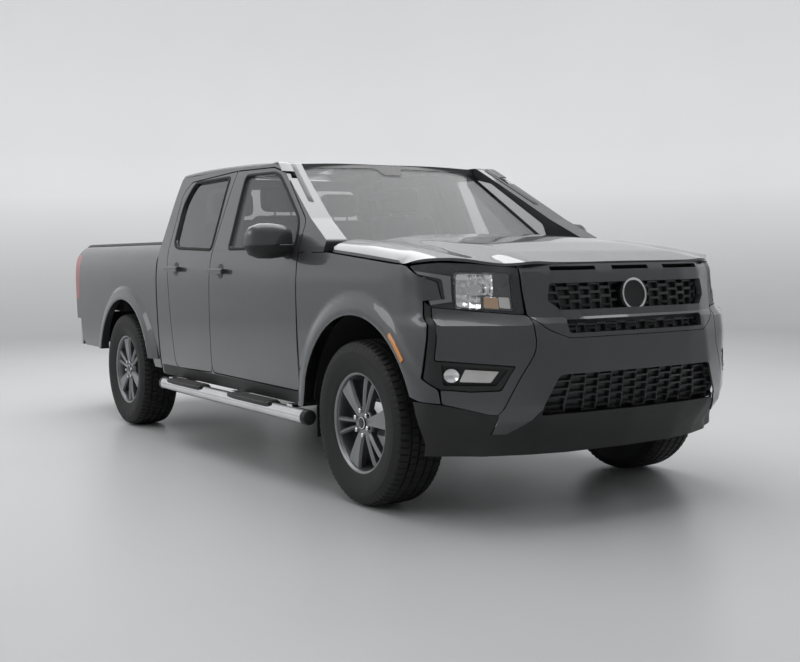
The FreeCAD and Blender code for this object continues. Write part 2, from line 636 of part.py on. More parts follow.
UPPER_OPENING = [(0.0, 1030.0, 0.0), (447.0, 1030.0, 10.0), (457.0, 975.0, 10.0), (390.0, 915.0, 12.0), (0.0, 915.0, 0.0)]
LOWER_SLOT = [(0.0, 872.0, 0.0), (330.0, 872.0, 16.0), (300.0, 794.0, 16.0), (0.0, 794.0, 0.0)]
LOWER_OPENING = [(0.0, 648.0, 0.0), (432.0, 648.0, 24.0), (520.0, 505.0, 24.0), (0.0, 512.0, 0.0)]
GRILLE_OUTLINE = [(0.0, 1098.0, 0.0), (536.0, 1094.0, 10.0), (546.0, 1040.0, 10.0), (462.0, 826.0, 30.0), (330.0, 770.0, 30.0), (0.0, 764.0, 0.0)]
HEADLAMP_OUTLINE = [(548.0, 1068.0, 14.0), (700.0, 1080.0, 30.0), (930.0, 1128.0, 10.0), (930.0, 925.0, 10.0), (850.0, 922.0, 30.0), (530.0, 900.0, 14.0)]
FOG_OUTLINE = [(610.0, 742.0, 14.0), (872.0, 756.0, 20.0), (884.0, 640.0, 30.0), (640.0, 616.0, 20.0)]
BUMPER_OUTLINE = [(0.0, 758.0, 0.0), (330.0, 764.0, 30.0), (466.0, 820.0, 30.0), (540.0, 893.0, 10.0), (850.0, 914.0, 20.0),
                  (960.0, 918.0, 0.0), (960.0, 470.0, 0.0), (640.0, 476.0, 40.0), (560.0, 500.0, 30.0), (0.0, 500.0, 0.0)]
VALANCE_OUTLINE = [(0.0, 493.0, 0.0), (556.0, 493.0, 30.0), (640.0, 469.0, 40.0), (960.0, 463.0, 0.0), (960.0, 292.0, 0.0), (0.0, 292.0, 0.0)]


def symmetric(half):
    right = [(-y, z, r) for y, z, r in reversed(half) if y > 0.0]
    return [p for p in half] + right


def nose_cut(half, x0=0.0, x1=1200.0):
    return front_prism(symmetric(half), FRONT_AXLE_X + x0, FRONT_AXLE_X + x1)


def side_pair_cut(half, x0=0.0, x1=1200.0):
    one = front_prism(half, FRONT_AXLE_X + x0, FRONT_AXLE_X + x1)
    return Part.makeCompound([one, mirrored(one)])


def front_arch_tool():
    return cylinder(ARCH_RADIUS, (FRONT_AXLE_X, -1400.0, HUB_Z), (0, 1, 0), 2800.0)


def liner_tool():
    """Room for the front arch liners on both sides."""
    radius = ARCH_LINER_RADIUS + ARCH_LINER_WALL + SEAT_GAP
    reach = LINER_OUTER_Y + SEAT_GAP
    inner = RAIL_OUTER_Y + APRON_WALL
    right = cylinder(radius, (FRONT_AXLE_X, -reach, HUB_Z), (0, 1, 0), reach - inner)
    return pair(right)


def rear_arch_tool():
    return cylinder(ARCH_RADIUS, (REAR_AXLE_X + REAR_ARCH_SHIFT_X, -1400.0, REAR_ARCH_Z), (0, 1, 0), 2800.0)


def arch_flare(x, z, low_z):
    """Right-hand flare round a wheel arch, as a ring turned about the arch centre."""
    skin = half_width(900.0)
    profile = [(ARCH_RADIUS, skin - SKIN), (ARCH_RADIUS, skin + FLARE_BULGE), (ARCH_RADIUS + 16.0, skin + FLARE_BULGE + 3.0),
               (ARCH_RADIUS + 0.6 * FLARE_WIDTH, skin + 0.7 * FLARE_BULGE), (ARCH_RADIUS + FLARE_WIDTH, skin - 10.0),
               (ARCH_RADIUS + FLARE_WIDTH, skin - SKIN)]
    points = [Vector(x, -y, z + r) for r, y in profile]
    face = Part.Face(Part.makePolygon(points + [points[0]]))
    ring = face.revolve(Vector(x, 0, z), Vector(0, 1, 0), 360.0)
    return ring.common(box(x - 900.0, x + 900.0, -1300.0, 0.0, low_z, 2000.0))


# Side view of the line where the nose takes over from the fender, forward of the front axle and height
NOSE_SPLIT = [(464.0, 1132.0), (606.0, 918.0), (478.0, 640.0), (478.0, 200.0)]


def nose_side(gap):
    """Everything ahead of the fender's front edge, moved back by a gap."""
    corners = [(FRONT_AXLE_X + x - gap, z, 0.0) for x, z in NOSE_SPLIT]
    corners = [(FRONT_AXLE_X + 1200.0, 1132.0, 0.0)] + corners + [(FRONT_AXLE_X + 1200.0, 200.0, 0.0)]
    return side_prism(corners, -1300.0, 1300.0)


def front_fender():
    """Right-hand fender skin with its flare."""
    corners = [(FENDER_REAR_X, SILL_BOTTOM_Z, 0.0), (FENDER_REAR_X, 1174.0, 0.0), (FRONT_AXLE_X - 330.0, 1174.0, 0.0),
               (FRONT_AXLE_X + 620.0, hood_side_line(620.0), 0.0), (FRONT_AXLE_X + 620.0, SILL_BOTTOM_Z, 0.0)]
    band = side_band([SIDE_LOWER], FENDER_REAR_X - 5.0, FRONT_AXLE_X + 640.0, 0.0, SKIN)
    panel = band.common(side_prism(corners, -1300.0, 0.0))
    flare = arch_flare(FRONT_AXLE_X, HUB_Z, SILL_BOTTOM_Z)
    whole = fused([panel, flare.common(box(FENDER_REAR_X, FRONT_AXLE_X + 900.0, -1300.0, 0.0, 0.0, 2000.0))])
    return whole.cut(front_arch_tool()).cut(nose_side(0.0)).cut(hood_shape(SHUT_GAP))


BED_PROFILE = [point for point in SIDE_LOWER if point[0] < BED_SHOULDER[0][0]] + BED_SHOULDER
POST_DEPTH = 46.0
BUMPER_END_X = FRONT_AXLE_X - WHEELBASE - REAR_OVERHANG + 200.0


def bed_band(x0, x1, outer, inner):
    return side_band([BED_PROFILE], x0, x1, outer, inner)


def tail_lamp(gap):
    """Right-hand tail lamp, wrapped round the bed's rear corner, or its room when a gap is given."""
    side = [(BED_REAR_X - 1.0, 850.0 - gap, 0.0), (BED_REAR_X - 1.0, 1186.0 + gap, 0.0), (BED_REAR_X + 112.0 + gap, 1176.0 + gap, 20.0),
            (BED_REAR_X + 66.0 + gap, 850.0 - gap, 20.0)]
    wrap = bed_band(BED_REAR_X, BED_REAR_X + 200.0, -gap, SKIN + gap).common(side_prism(side, -1300.0, 0.0))
    core = bed_band(BED_REAR_X, BED_REAR_X + POST_DEPTH - 10.0 + gap, -gap, half_width(1000.0) - TAILGATE_HALF_WIDTH - 30.0 + gap)
    core = core.common(box(BED_REAR_X - 1.0, BED_REAR_X + POST_DEPTH, -1300.0, gap - 730.0, 850.0 - gap, 1186.0 + gap))
    return fused([wrap, core])


def bed_side():
    """Right-hand outer side of the load bed with its flare, arch and rear post."""
    corners = [(BED_FRONT_X, SILL_BOTTOM_Z + 30.0, 10.0), (BED_FRONT_X, BED_TOP_Z + 10.0, 0.0), (BED_REAR_X, BED_TOP_Z + 10.0, 0.0),
               (BED_REAR_X, 700.0, 10.0), (BUMPER_END_X + 8.0, 700.0, 10.0), (BUMPER_END_X + 8.0, 545.0, 20.0), (BUMPER_END_X + 90.0, 500.0, 20.0),
               (REAR_AXLE_X, 500.0, 0.0), (REAR_AXLE_X + 300.0, SILL_BOTTOM_Z + 30.0, 0.0)]
    band = bed_band(BED_REAR_X - 5.0, BED_FRONT_X + 5.0, 0.0, SKIN)
    panel = band.common(side_prism(corners, -1300.0, 0.0))
    cap = box(BED_REAR_X, BED_FRONT_X, -(BED_SHOULDER[-1][1] - 4.0), -BED_INNER_Y, BED_TOP_Z - 20.0, BED_TOP_Z)
    post = bed_band(BED_REAR_X, BED_REAR_X + POST_DEPTH, 0.0, half_width(1000.0) - TAILGATE_HALF_WIDTH - SHUT_GAP)
    post = post.common(box(BED_REAR_X - 1.0, BED_FRONT_X, -1300.0, -TAILGATE_HALF_WIDTH - SHUT_GAP, 700.0, BED_TOP_Z))
    flare = arch_flare(REAR_AXLE_X + REAR_ARCH_SHIFT_X, REAR_ARCH_Z, 500.0)
    flare = flare.common(box(BUMPER_END_X + 8.0, BED_FRONT_X, -1300.0, 0.0, 0.0, 2000.0))
    bore = cylinder(TAILGATE_PIN_RADIUS + PIN_CLEARANCE, (TAILGATE_HINGE_X, -760.0, TAILGATE_HINGE_Z), (0, 1, 0), 100.0)
    return fused([panel, cap, flare, post]).cut(rear_arch_tool()).cut(tail_lamp(SEAT_GAP)).cut(bore)


def bed_tub():
    """Load bed floor with side walls, front wall and wheel boxes."""
    front = BED_FRONT_X
    rear = BED_REAR_X + TAILGATE_THICKNESS + 8.0
    top = BED_TOP_Z - 20.0 - SEAT_GAP
    outer_y = BED_INNER_Y + BED_WALL
    shell = box(rear, front, -outer_y, outer_y, BED_FLOOR_Z - 20.0, top)
    hollow = box(rear - 50.0, front - BED_WALL, -BED_INNER_Y, BED_INNER_Y, BED_FLOOR_Z, top + 50.0)
    tub = shell.cut(hollow)
    arch_x = REAR_AXLE_X + REAR_ARCH_SHIFT_X
    for side in (-1.0, 1.0):
        y0 = min(side * 560.0, side * BED_INNER_Y)
        y1 = max(side * 560.0, side * BED_INNER_Y)
        wheel_box = side_prism([(arch_x - 470.0, BED_FLOOR_Z - 10.0, 0.0), (arch_x - 330.0, 985.0, 60.0), (arch_x + 330.0, 985.0, 60.0),
                                (arch_x + 470.0, BED_FLOOR_Z - 10.0, 0.0)], y0, y1)
        tub = tub.fuse(wheel_box)
    for side in (-1.0, 1.0):
        y0 = min(side * 580.0, side * (outer_y + 5.0))
        y1 = max(side * 580.0, side * (outer_y + 5.0))
        pocket = side_prism([(arch_x - 430.0, 600.0, 0.0), (arch_x - 310.0, 965.0, 50.0), (arch_x + 310.0, 965.0, 50.0),
                             (arch_x + 430.0, 600.0, 0.0)], y0, y1)
        tub = tub.cut(pocket)
    cut_ribs = []
    for i in range(10):
        y = -486.0 + 108.0 * i
        cut_ribs.append(box(rear + 20.0, front - 80.0, y - 22.0, y + 22.0, BED_FLOOR_Z - 6.0, BED_FLOOR_Z + 10.0))
    holes = []
    for x in (-BED_HOLE_SPACING_X / 2.0, BED_HOLE_SPACING_X / 2.0):
        for y in (-BED_HOLE_SPACING_Y / 2.0, BED_HOLE_SPACING_Y / 2.0):
            holes.append(cylinder(BED_HOLE_RADIUS, (BED_HOLES_X + x, y, BED_FLOOR_Z - 60.0), (0, 0, 1), 120.0))
    return tub.cut(Part.makeCompound(cut_ribs)).cut(Part.makeCompound(holes)).removeSplitter()


def tailgate():
    x0 = BED_REAR_X
    x1 = BED_REAR_X + TAILGATE_THICKNESS - 4.0
    panel = side_prism([(x0 + 4.0, TAILGATE_BOTTOM_Z, 8.0), (x0 - 6.0, 1010.0, 60.0), (x0 + 6.0, 1216.0, 20.0), (x0 - 14.0, BED_TOP_Z, 10.0),
                        (x1, BED_TOP_Z, 10.0), (x1, TAILGATE_BOTTOM_Z, 8.0)], -TAILGATE_HALF_WIDTH, TAILGATE_HALF_WIDTH)
    reach = TAILGATE_HALF_WIDTH + SHUT_GAP + 12.0
    pin = cylinder(TAILGATE_PIN_RADIUS, (TAILGATE_HINGE_X, -reach, TAILGATE_HINGE_Z), (0, 1, 0), 2.0 * reach)
    return fused([panel, pin])


def rear_bumper():
    """Bright step bumper with its brackets to the frame rails."""
    z0, z1 = 500.0, 690.0
    x0 = FRONT_AXLE_X - WHEELBASE - REAR_OVERHANG
    plan = [(x0, 0.0, 0.0), (x0, 560.0, 60.0), (x0 + 50.0, 800.0, 60.0), (x0 + 160.0, 890.0, 40.0), (BUMPER_END_X, 884.0, 0.0),
            (BUMPER_END_X - 20.0, 850.0, 0.0), (x0 + 120.0, 740.0, 60.0), (x0 + 100.0, 0.0, 0.0)]
    whole = plan + [(x, -y, r) for x, y, r in reversed(plan) if y > 0.0]
    beam = plan_prism(whole, z0, z1)
    notch = box(x0 - 50.0, x0 + 70.0, -390.0, 390.0, z1 - 40.0, z1 + 100.0)
    bracket = box(x0 + 90.0, RAIL_REAR_X - SEAT_GAP, -RAIL_OUTER_Y, -RAIL_OUTER_Y + RAIL_WIDTH, 520.0, 580.0)
    return fused([beam.cut(notch), bracket, mirrored(bracket)])


RECEIVER_Z = 452.0
RECEIVER_SIZE = 50.8
RECEIVER_WALL = 6.6
TOW_PIN_RADIUS = 8.2


def tow_receiver():
    """Square tow bar receiver under the rear bumper, with its cross tube and pin hole."""
    x0 = FRONT_AXLE_X - WHEELBASE - REAR_OVERHANG
    half = RECEIVER_SIZE / 2.0
    outer = half + RECEIVER_WALL
    tube = box(x0 + 20.0, x0 + 270.0, -outer, outer, RECEIVER_Z - outer, RECEIVER_Z + outer)
    bore = box(x0 - 20.0, x0 + 210.0, -half, half, RECEIVER_Z - half, RECEIVER_Z + half)
    cross = cylinder(30.0, (x0 + 245.0, -RAIL_OUTER_Y, RECEIVER_Z), (0, 1, 0), 2.0 * RAIL_OUTER_Y)
    pin_hole = cylinder(TOW_PIN_RADIUS, (x0 + 85.0, -100.0, RECEIVER_Z), (0, 1, 0), 200.0)
    return fused([tube, cross]).cut(bore).cut(pin_hole)


def rail():
    front = FRONT_AXLE_X + 690.0
    rear = RAIL_REAR_X
    top = [(front, RAIL_TOP_Z + 60.0), (FRONT_AXLE_X - 300.0, RAIL_TOP_Z + 60.0), (BULKHEAD_X - 10.0, RAIL_TOP_Z),
           (REAR_AXLE_X + 760.0, RAIL_TOP_Z), (REAR_AXLE_X + 380.0, RAIL_TOP_Z + RAIL_KICK), (REAR_AXLE_X - 380.0, RAIL_TOP_Z + RAIL_KICK),
           (REAR_AXLE_X - 700.0, RAIL_TOP_Z + 80.0), (rear, RAIL_TOP_Z + 80.0)]
    corners = [(x, z, 60.0 if 0 < i < len(top) - 1 else 0.0) for i, (x, z) in enumerate(top)]
    corners += [(x, z - RAIL_HEIGHT, 60.0 if 0 < i < len(top) - 1 else 0.0) for i, (x, z) in reversed(list(enumerate(top)))]
    return side_prism(corners, -RAIL_OUTER_Y, -RAIL_OUTER_Y + RAIL_WIDTH)


def chassis_frame():
    """Ladder frame: two rails, cross members and body mounts."""
    one = rail()
    members = [one, mirrored(one)]
    inner = RAIL_OUTER_Y - RAIL_WIDTH + 10.0
    low = RAIL_TOP_Z - RAIL_HEIGHT
    for x, z, height in ((FRONT_AXLE_X + 640.0, low + 66.0, 90.0), (FRONT_AXLE_X - 960.0, low, 38.0), (DOOR_SPLIT_X, MIDDLE_MEMBER_Z, 22.0),
                         (REAR_AXLE_X + 640.0, RAIL_TOP_Z - 42.0, 40.0), (REAR_AXLE_X - 480.0, low + RAIL_KICK - 10.0, 90.0), (BED_REAR_X + 110.0, low + 90.0, 90.0)):
        members.append(box(x - 45.0, x + 45.0, -inner, inner, z, z + height))
    members.append(box(FRONT_AXLE_X + 685.0, FRONT_BEAM_X, -480.0, 480.0, 470.0, 570.0))
    for x in (FRONT_AXLE_X - 700.0, FRONT_AXLE_X - 1300.0, CAB_REAR_X + 110.0):
        for side in (-1.0, 1.0):
            members.append(box(x - 40.0, x + 40.0, min(side * 400.0, side * 560.0), max(side * 400.0, side * 560.0), RAIL_TOP_Z - 70.0, RAIL_TOP_Z - 40.0))
            members.append(cylinder(32.0, (x, side * 520.0, RAIL_TOP_Z - 50.0), (0, 0, 1), SILL_TOP_Z - 22.0 - SEAT_GAP - RAIL_TOP_Z + 50.0))
    for x in (BED_FRONT_X - 160.0, REAR_AXLE_X, BED_REAR_X + 260.0):
        for side in (-1.0, 1.0):
            y0 = min(side * (RAIL_OUTER_Y - RAIL_WIDTH + 8.0), side * (RAIL_OUTER_Y - 8.0))
            y1 = max(side * (RAIL_OUTER_Y - RAIL_WIDTH + 8.0), side * (RAIL_OUTER_Y - 8.0))
            members.append(box(x - 40.0, x + 40.0, y0, y1, RAIL_TOP_Z - 20.0, BED_FLOOR_Z - 20.0 - SEAT_GAP))
    return fused(members)


def powertrain():
    """Engine as one plain block on its mounts, gearbox and propeller shaft."""
    engine = box(FRONT_AXLE_X - 330.0, FRONT_AXLE_X + 330.0, -230.0, 230.0, 520.0, 1000.0)
    mount = box(FRONT_AXLE_X - 40.0, FRONT_AXLE_X + 40.0, -(RAIL_OUTER_Y - RAIL_WIDTH - SEAT_GAP), -220.0, 530.0, 570.0)
    gearbox = cylinder(118.0, (FRONT_AXLE_X - 900.0, 0.0, 475.0), (1, 0, 0), 600.0)
    shaft = rod(34.0, (REAR_AXLE_X + 186.0, 0.0, 418.0), (FRONT_AXLE_X - 880.0, 0.0, 488.0))
    return fused([engine, mount, mirrored(mount), gearbox, shaft])


def exhaust():
    """Exhaust pipe with its silencer, over the rear axle and out behind the right rear wheel."""
    y = -240.0
    route = [(FRONT_AXLE_X - 420.0, y, 366.0), (REAR_AXLE_X + 420.0, y, 366.0), (REAR_AXLE_X + 130.0, y, 490.0), (REAR_AXLE_X - 90.0, y, 490.0),
             (REAR_AXLE_X - 220.0, -330.0, 430.0), (REAR_AXLE_X - 420.0, -590.0, 400.0), (REAR_AXLE_X - 900.0, -600.0, 400.0)]
    parts = [rod(28.0, a, b) for a, b in zip(route, route[1:])]
    parts += [Part.makeSphere(28.0, Vector(*point)) for point in route[1:-1]]
    parts.append(rod(85.0, (REAR_AXLE_X + 820.0, y, 366.0), (REAR_AXLE_X + 1380.0, y, 366.0)))
    parts.append(box(DOOR_SPLIT_X - 12.0, DOOR_SPLIT_X + 12.0, y - 8.0, y + 8.0, 380.0, MIDDLE_MEMBER_Z - SEAT_GAP))
    return fused(parts)


def arm_outline(base_half, tip_half, inner_y, outer_y):
    return [(FRONT_AXLE_X - base_half, -inner_y, 0.0), (FRONT_AXLE_X + base_half, -inner_y, 0.0), (FRONT_AXLE_X + tip_half, -outer_y, 12.0),
            (FRONT_AXLE_X - tip_half, -outer_y, 12.0)]


def front_suspension():
    """Wishbones and springs on each side with the cross member that carries them."""
    parts = []
    tip = KINGPIN_Y + 26.0
    for side in (-1.0, 1.0):
        lower = plan_prism(arm_outline(150.0, 30.0, RAIL_OUTER_Y - 60.0, tip), 238.0, 266.0)
        upper = plan_prism(arm_outline(110.0, 26.0, RAIL_OUTER_Y + 1.0, tip), 520.0, 542.0)
        strut = cylinder(48.0, (FRONT_AXLE_X, -(RAIL_OUTER_Y + 60.0), 264.0), (0, 0, 1), 258.0)
        for piece in (lower, upper, strut):
            parts.append(piece if side < 0 else mirrored(piece))
    cross = box(FRONT_AXLE_X - 170.0, FRONT_AXLE_X + 170.0, -RAIL_OUTER_Y + 20.0, RAIL_OUTER_Y - 20.0, 238.0, 330.0)
    posts = [box(FRONT_AXLE_X - 60.0, FRONT_AXLE_X + 60.0, s * 395.0 - 30.0, s * 395.0 + 30.0, 300.0, RAIL_TOP_Z + 60.0 - RAIL_HEIGHT - SEAT_GAP) for s in (-1.0, 1.0)]
    return fused(parts + [cross] + posts)


def rear_axle():
    """Rear axle tube with differential, leaf springs and spring shackles."""
    reach = WHEEL_Y + 40.0
    tube = cylinder(42.0, (REAR_AXLE_X, -WHEEL_Y + 70.0, HUB_Z), (0, 1, 0), 2.0 * (WHEEL_Y - 70.0))
    spindle = cylinder(SPINDLE_RADIUS, (REAR_AXLE_X, -reach, HUB_Z), (0, 1, 0), 2.0 * reach)
    differential = Part.makeSphere(140.0, Vector(REAR_AXLE_X, 0.0, HUB_Z))
    nose = cylinder(56.0, (REAR_AXLE_X + 60.0, 0.0, HUB_Z + 26.0), (1, 0, 0), 122.0)
    parts = [tube, spindle, differential, nose]
    for side in (-1.0, 1.0):
        y = side * 510.0
        leaf = Part.Arc(Vector(REAR_AXLE_X - 620.0, 0.0, 520.0), Vector(REAR_AXLE_X, 0.0, 438.0), Vector(REAR_AXLE_X + 620.0, 0.0, 480.0))
        low = leaf.toShape()
        spring = low.extrude(Vector(0.0, 62.0, 0.0)).extrude(Vector(0.0, 0.0, 26.0))
        spring.translate(Vector(0.0, y - 31.0, 0.0))
        pad = box(REAR_AXLE_X - 60.0, REAR_AXLE_X + 60.0, y - 40.0, y + 40.0, HUB_Z - 60.0, 470.0)
        front_eye = box(REAR_AXLE_X + 580.0, REAR_AXLE_X + 640.0, min(side * (RAIL_OUTER_Y + SEAT_GAP), y + side * 31.0), max(side * (RAIL_OUTER_Y + SEAT_GAP), y + side * 31.0), 450.0, 520.0)
        rear_eye = box(REAR_AXLE_X - 640.0, REAR_AXLE_X - 580.0, min(side * (RAIL_OUTER_Y + SEAT_GAP), y + side * 31.0), max(side * (RAIL_OUTER_Y + SEAT_GAP), y + side * 31.0), 500.0, 590.0)
        parts += [spring, pad, front_eye, rear_eye]
    return fused(parts)


def wheel_tyre():
    """Tyre turned about Y at the origin."""
    half = TYRE_WIDTH / 2.0
    bead = RIM_WIDTH / 2.0 - RIM_LIP - SEAT_GAP
    right = [(bead, RIM_SEAT_RADIUS + SEAT_GAP), (bead, RIM_FLANGE_RADIUS + 2.0), (half, RIM_FLANGE_RADIUS + 58.0),
             (half - 6.0, TYRE_RADIUS - 36.0), (half - 30.0, TYRE_RADIUS)]
    points = [Vector(0.0, y, r) for y, r in right] + [Vector(0.0, -y, r) for y, r in reversed(right)]
    return Part.Face(Part.makePolygon(points + [points[0]])).revolve(Vector(0, 0, 0), Vector(0, 1, 0), 360.0)


def wheel_rim(outward):
    """Wheel rim about the Y axis with its spokes, hub and brake disc; outward is -1 or 1."""
    half = RIM_WIDTH / 2.0
    seat = RIM_SEAT_RADIUS
    lip = [(-half, seat - RIM_WALL), (-half, RIM_FLANGE_RADIUS), (-half + RIM_LIP - 2.0, RIM_FLANGE_RADIUS), (-half + RIM_LIP, seat), (half - RIM_LIP, seat),
           (half - RIM_LIP + 2.0, RIM_FLANGE_RADIUS), (half, RIM_FLANGE_RADIUS), (half, seat - RIM_WALL)]
    points = [Vector(0.0, y, r) for y, r in lip]
    barrel = Part.Face(Part.makePolygon(points + [points[0]])).revolve(Vector(0, 0, 0), Vector(0, 1, 0), 360.0)
    face_y = half - 14.0
    parts = [barrel]
    for i in range(6):
        wide = i % 2 == 0
        angle = 60.0 * i + 90.0
        shifts = (0.0,) if wide else (-19.0, 19.0)
        for shift in shifts:
            inner_half = 30.0 if wide else 9.0
            outer_half = 44.0 if wide else 13.0
            spread = shift * 1.6
            corners = [Vector(50.0, face_y - 40.0, shift - inner_half), Vector(50.0, face_y - 40.0, shift + inner_half),
                       Vector(seat - 7.0, face_y - 40.0, spread + outer_half), Vector(seat - 7.0, face_y - 40.0, spread - outer_half)]
            spoke = Part.Face(Part.makePolygon(corners + [corners[0]])).extrude(Vector(0, 34.0, 0))
            spoke.rotate(Vector(0, 0, 0), Vector(0, 1, 0), angle)
            parts.append(spoke)
    parts.append(cylinder(HUB_RADIUS, (0.0, face_y - 62.0, 0.0), (0, 1, 0), 56.0))
    parts.append(cylinder(BRAKE_DISC_RADIUS, (0.0, -20.0, 0.0), (0, 1, 0), 24.0))
    parts.append(cylinder(58.0, (0.0, -20.0, 0.0), (0, 1, 0), face_y - 20.0))
    rim = fused(parts)
    rim = rim.cut(cylinder(SPINDLE_RADIUS + PIN_CLEARANCE, (0.0, -200.0, 0.0), (0, 1, 0), 245.0))
    return rim if outward > 0 else mirrored(rim)


def knuckle():
    """Right-hand steering knuckle with its spindle, steering arm and brake caliper."""
    y = -KINGPIN_Y
    post = box(FRONT_AXLE_X - 28.0, FRONT_AXLE_X + 28.0, y - 22.0, y + 18.0, 266.0 + 8.0, 512.0)
    spindle = cylinder(SPINDLE_RADIUS, (FRONT_AXLE_X, y + 10.0, HUB_Z), (0, -1, 0), WHEEL_Y - KINGPIN_Y + 40.0)
    arm = box(FRONT_AXLE_X - 150.0, FRONT_AXLE_X - 20.0, y - 10.0, y + 14.0, 300.0, 326.0)
    lower_pin = cylinder(12.0, (FRONT_AXLE_X, y, 266.0 + SEAT_GAP), (0, 0, 1), 20.0)
    upper_pin = cylinder(12.0, (FRONT_AXLE_X, y, 505.0), (0, 0, 1), 15.0 - SEAT_GAP)
    return fused([post, spindle, arm, lower_pin, upper_pin])


def arch_liners():
    """Front wheel arch liners between the aprons and the fenders."""
    inner_y = RAIL_OUTER_Y + APRON_WALL + 2.0 * SEAT_GAP
    width = LINER_OUTER_Y - inner_y
    ring = cylinder(ARCH_LINER_RADIUS + ARCH_LINER_WALL, (FRONT_AXLE_X, -LINER_OUTER_Y, HUB_Z), (0, 1, 0), width)
    ring = ring.cut(cylinder(ARCH_LINER_RADIUS, (FRONT_AXLE_X, -LINER_OUTER_Y - 10.0, HUB_Z), (0, 1, 0), width + 20.0))
    return pair(ring.common(box(FRONT_AXLE_X - 700.0, FRONT_AXLE_X + 700.0, -1300.0, 0.0, LINER_FOOT_Z, 2000.0)))


def mud_flaps():
    """Flaps hung behind the front and rear wheels."""
    foot_x = FRONT_AXLE_X - math.sqrt(ARCH_LINER_RADIUS ** 2 - (LINER_FOOT_Z - HUB_Z) ** 2)
    front = box(foot_x - ARCH_LINER_WALL, foot_x, -LINER_OUTER_Y + 14.0, -660.0, 250.0, LINER_FOOT_Z - SEAT_GAP)
    rear = box(REAR_AXLE_X - 476.0, REAR_AXLE_X - 470.0, -854.0, -650.0, 240.0, BED_FLOOR_Z - 20.0 - SEAT_GAP)
    return Part.makeCompound([rear, mirrored(rear), front, mirrored(front)])


def step_bars():
    """Oval side steps on brackets from the frame rails."""
    length = 1952.0
    front_x = FRONT_AXLE_X - 440.0
    y = -925.0
    bar = cylinder(38.0, (front_x - length, y, 364.0), (1, 0, 0), length)
    brackets = []
    for shift in (205.0, 905.0, 1845.0):
        brackets.append(box(front_x - shift - 30.0, front_x - shift + 30.0, y, -RAIL_OUTER_Y - SEAT_GAP, 395.0, 409.0))
    return pair(fused([bar] + brackets))


def fuel_tank():
    tank = box(DOOR_SPLIT_X - 520.0, DOOR_SPLIT_X + 280.0, RAIL_OUTER_Y + SEAT_GAP, 700.0, 300.0, 500.0)
    return tank.makeFillet(30.0, tank.Edges)


SPARE_Z = 355.0


def spare_wheel():
    tyre = wheel_tyre()
    tyre.rotate(Vector(0, 0, 0), Vector(1, 0, 0), 90.0)
    disc = cylinder(RIM_SEAT_RADIUS + 1.0, (0.0, 0.0, -20.0), (0, 0, 1), 30.0)
    low = RAIL_TOP_Z - RAIL_HEIGHT + RAIL_KICK - 10.0
    stem_x = 80.0
    stem = cylinder(16.0, (stem_x, 0.0, -5.0), (0, 0, 1), low - SPARE_Z + 5.0 - SEAT_GAP)
    whole = fused([tyre, disc, stem])
    whole.translate(Vector(REAR_AXLE_X - 480.0 - stem_x, 0.0, SPARE_Z))
    return whole


def cowl_panel():
    """Grille panel between hood and windscreen."""
    top = SCREEN_FOOT_Z - SEAT_GAP
    corners = [(SCREEN_FOOT_X - 80.0, top - 12.0, 0.0), (SCREEN_FOOT_X - 80.0, top, 0.0), (HOOD_REAR_X - 60.0, top, 0.0),
               (HOOD_REAR_X - 60.0, top - 50.0, 0.0), (HOOD_REAR_X - 70.0, top - 50.0, 0.0), (HOOD_REAR_X - 70.0, top - 12.0, 0.0)]
    return side_prism(corners, -740.0, 740.0)


def radiator():
    top = RAIL_TOP_Z - RAIL_HEIGHT + 66.0 + 90.0
    return box(FRONT_AXLE_X + 560.0, FRONT_AXLE_X + 640.0, -345.0, 345.0, top + SEAT_GAP, 1020.0)


def engine_bay(nose, hood_room):
    """Inner aprons and the front carrier that hold fenders, hood and nose."""
    y0 = -RAIL_OUTER_Y - APRON_WALL
    y1 = -RAIL_OUTER_Y - SEAT_GAP
    rear_x = BULKHEAD_X + SEAT_GAP
    apron = box(rear_x, FRONT_AXLE_X + 560.0, y0, y1, RAIL_TOP_Z + 40.0, SHELF_Z)
    edge = half_width(SHELF_Z) - SKIN - SEAT_GAP
    shelf = box(rear_x, FRONT_AXLE_X + 470.0, -edge, y1, SHELF_Z - 10.0, SHELF_Z)
    carrier = box(FRONT_AXLE_X + 480.0, FRONT_AXLE_X + 540.0, -520.0, 520.0, SHELF_Z - 22.0, SHELF_Z)
    right = fused([apron, shelf, hood_hinge_mount()])
    return fused([right, mirrored(right), carrier]).cut(nose).cut(hood_room).cut(liner_tool())


def dashboard(floor):
    corners = [(FRONT_AXLE_X - 512.0, 800.0, 0.0), (FRONT_AXLE_X - 512.0, 1130.0, 20.0), (FRONT_AXLE_X - 800.0, 1160.0, 60.0), (FRONT_AXLE_X - 860.0, 1050.0, 60.0),
               (FRONT_AXLE_X - 760.0, 800.0, 40.0)]
    desk = side_prism(corners, -690.0, 690.0)
    console = box(FRONT_AXLE_X - 1500.0, FRONT_AXLE_X - 700.0, -130.0, 130.0, SILL_TOP_Z + 62.0, 860.0)
    return main_solid(fused([desk, console]).cut(floor).cut(steering_column()))


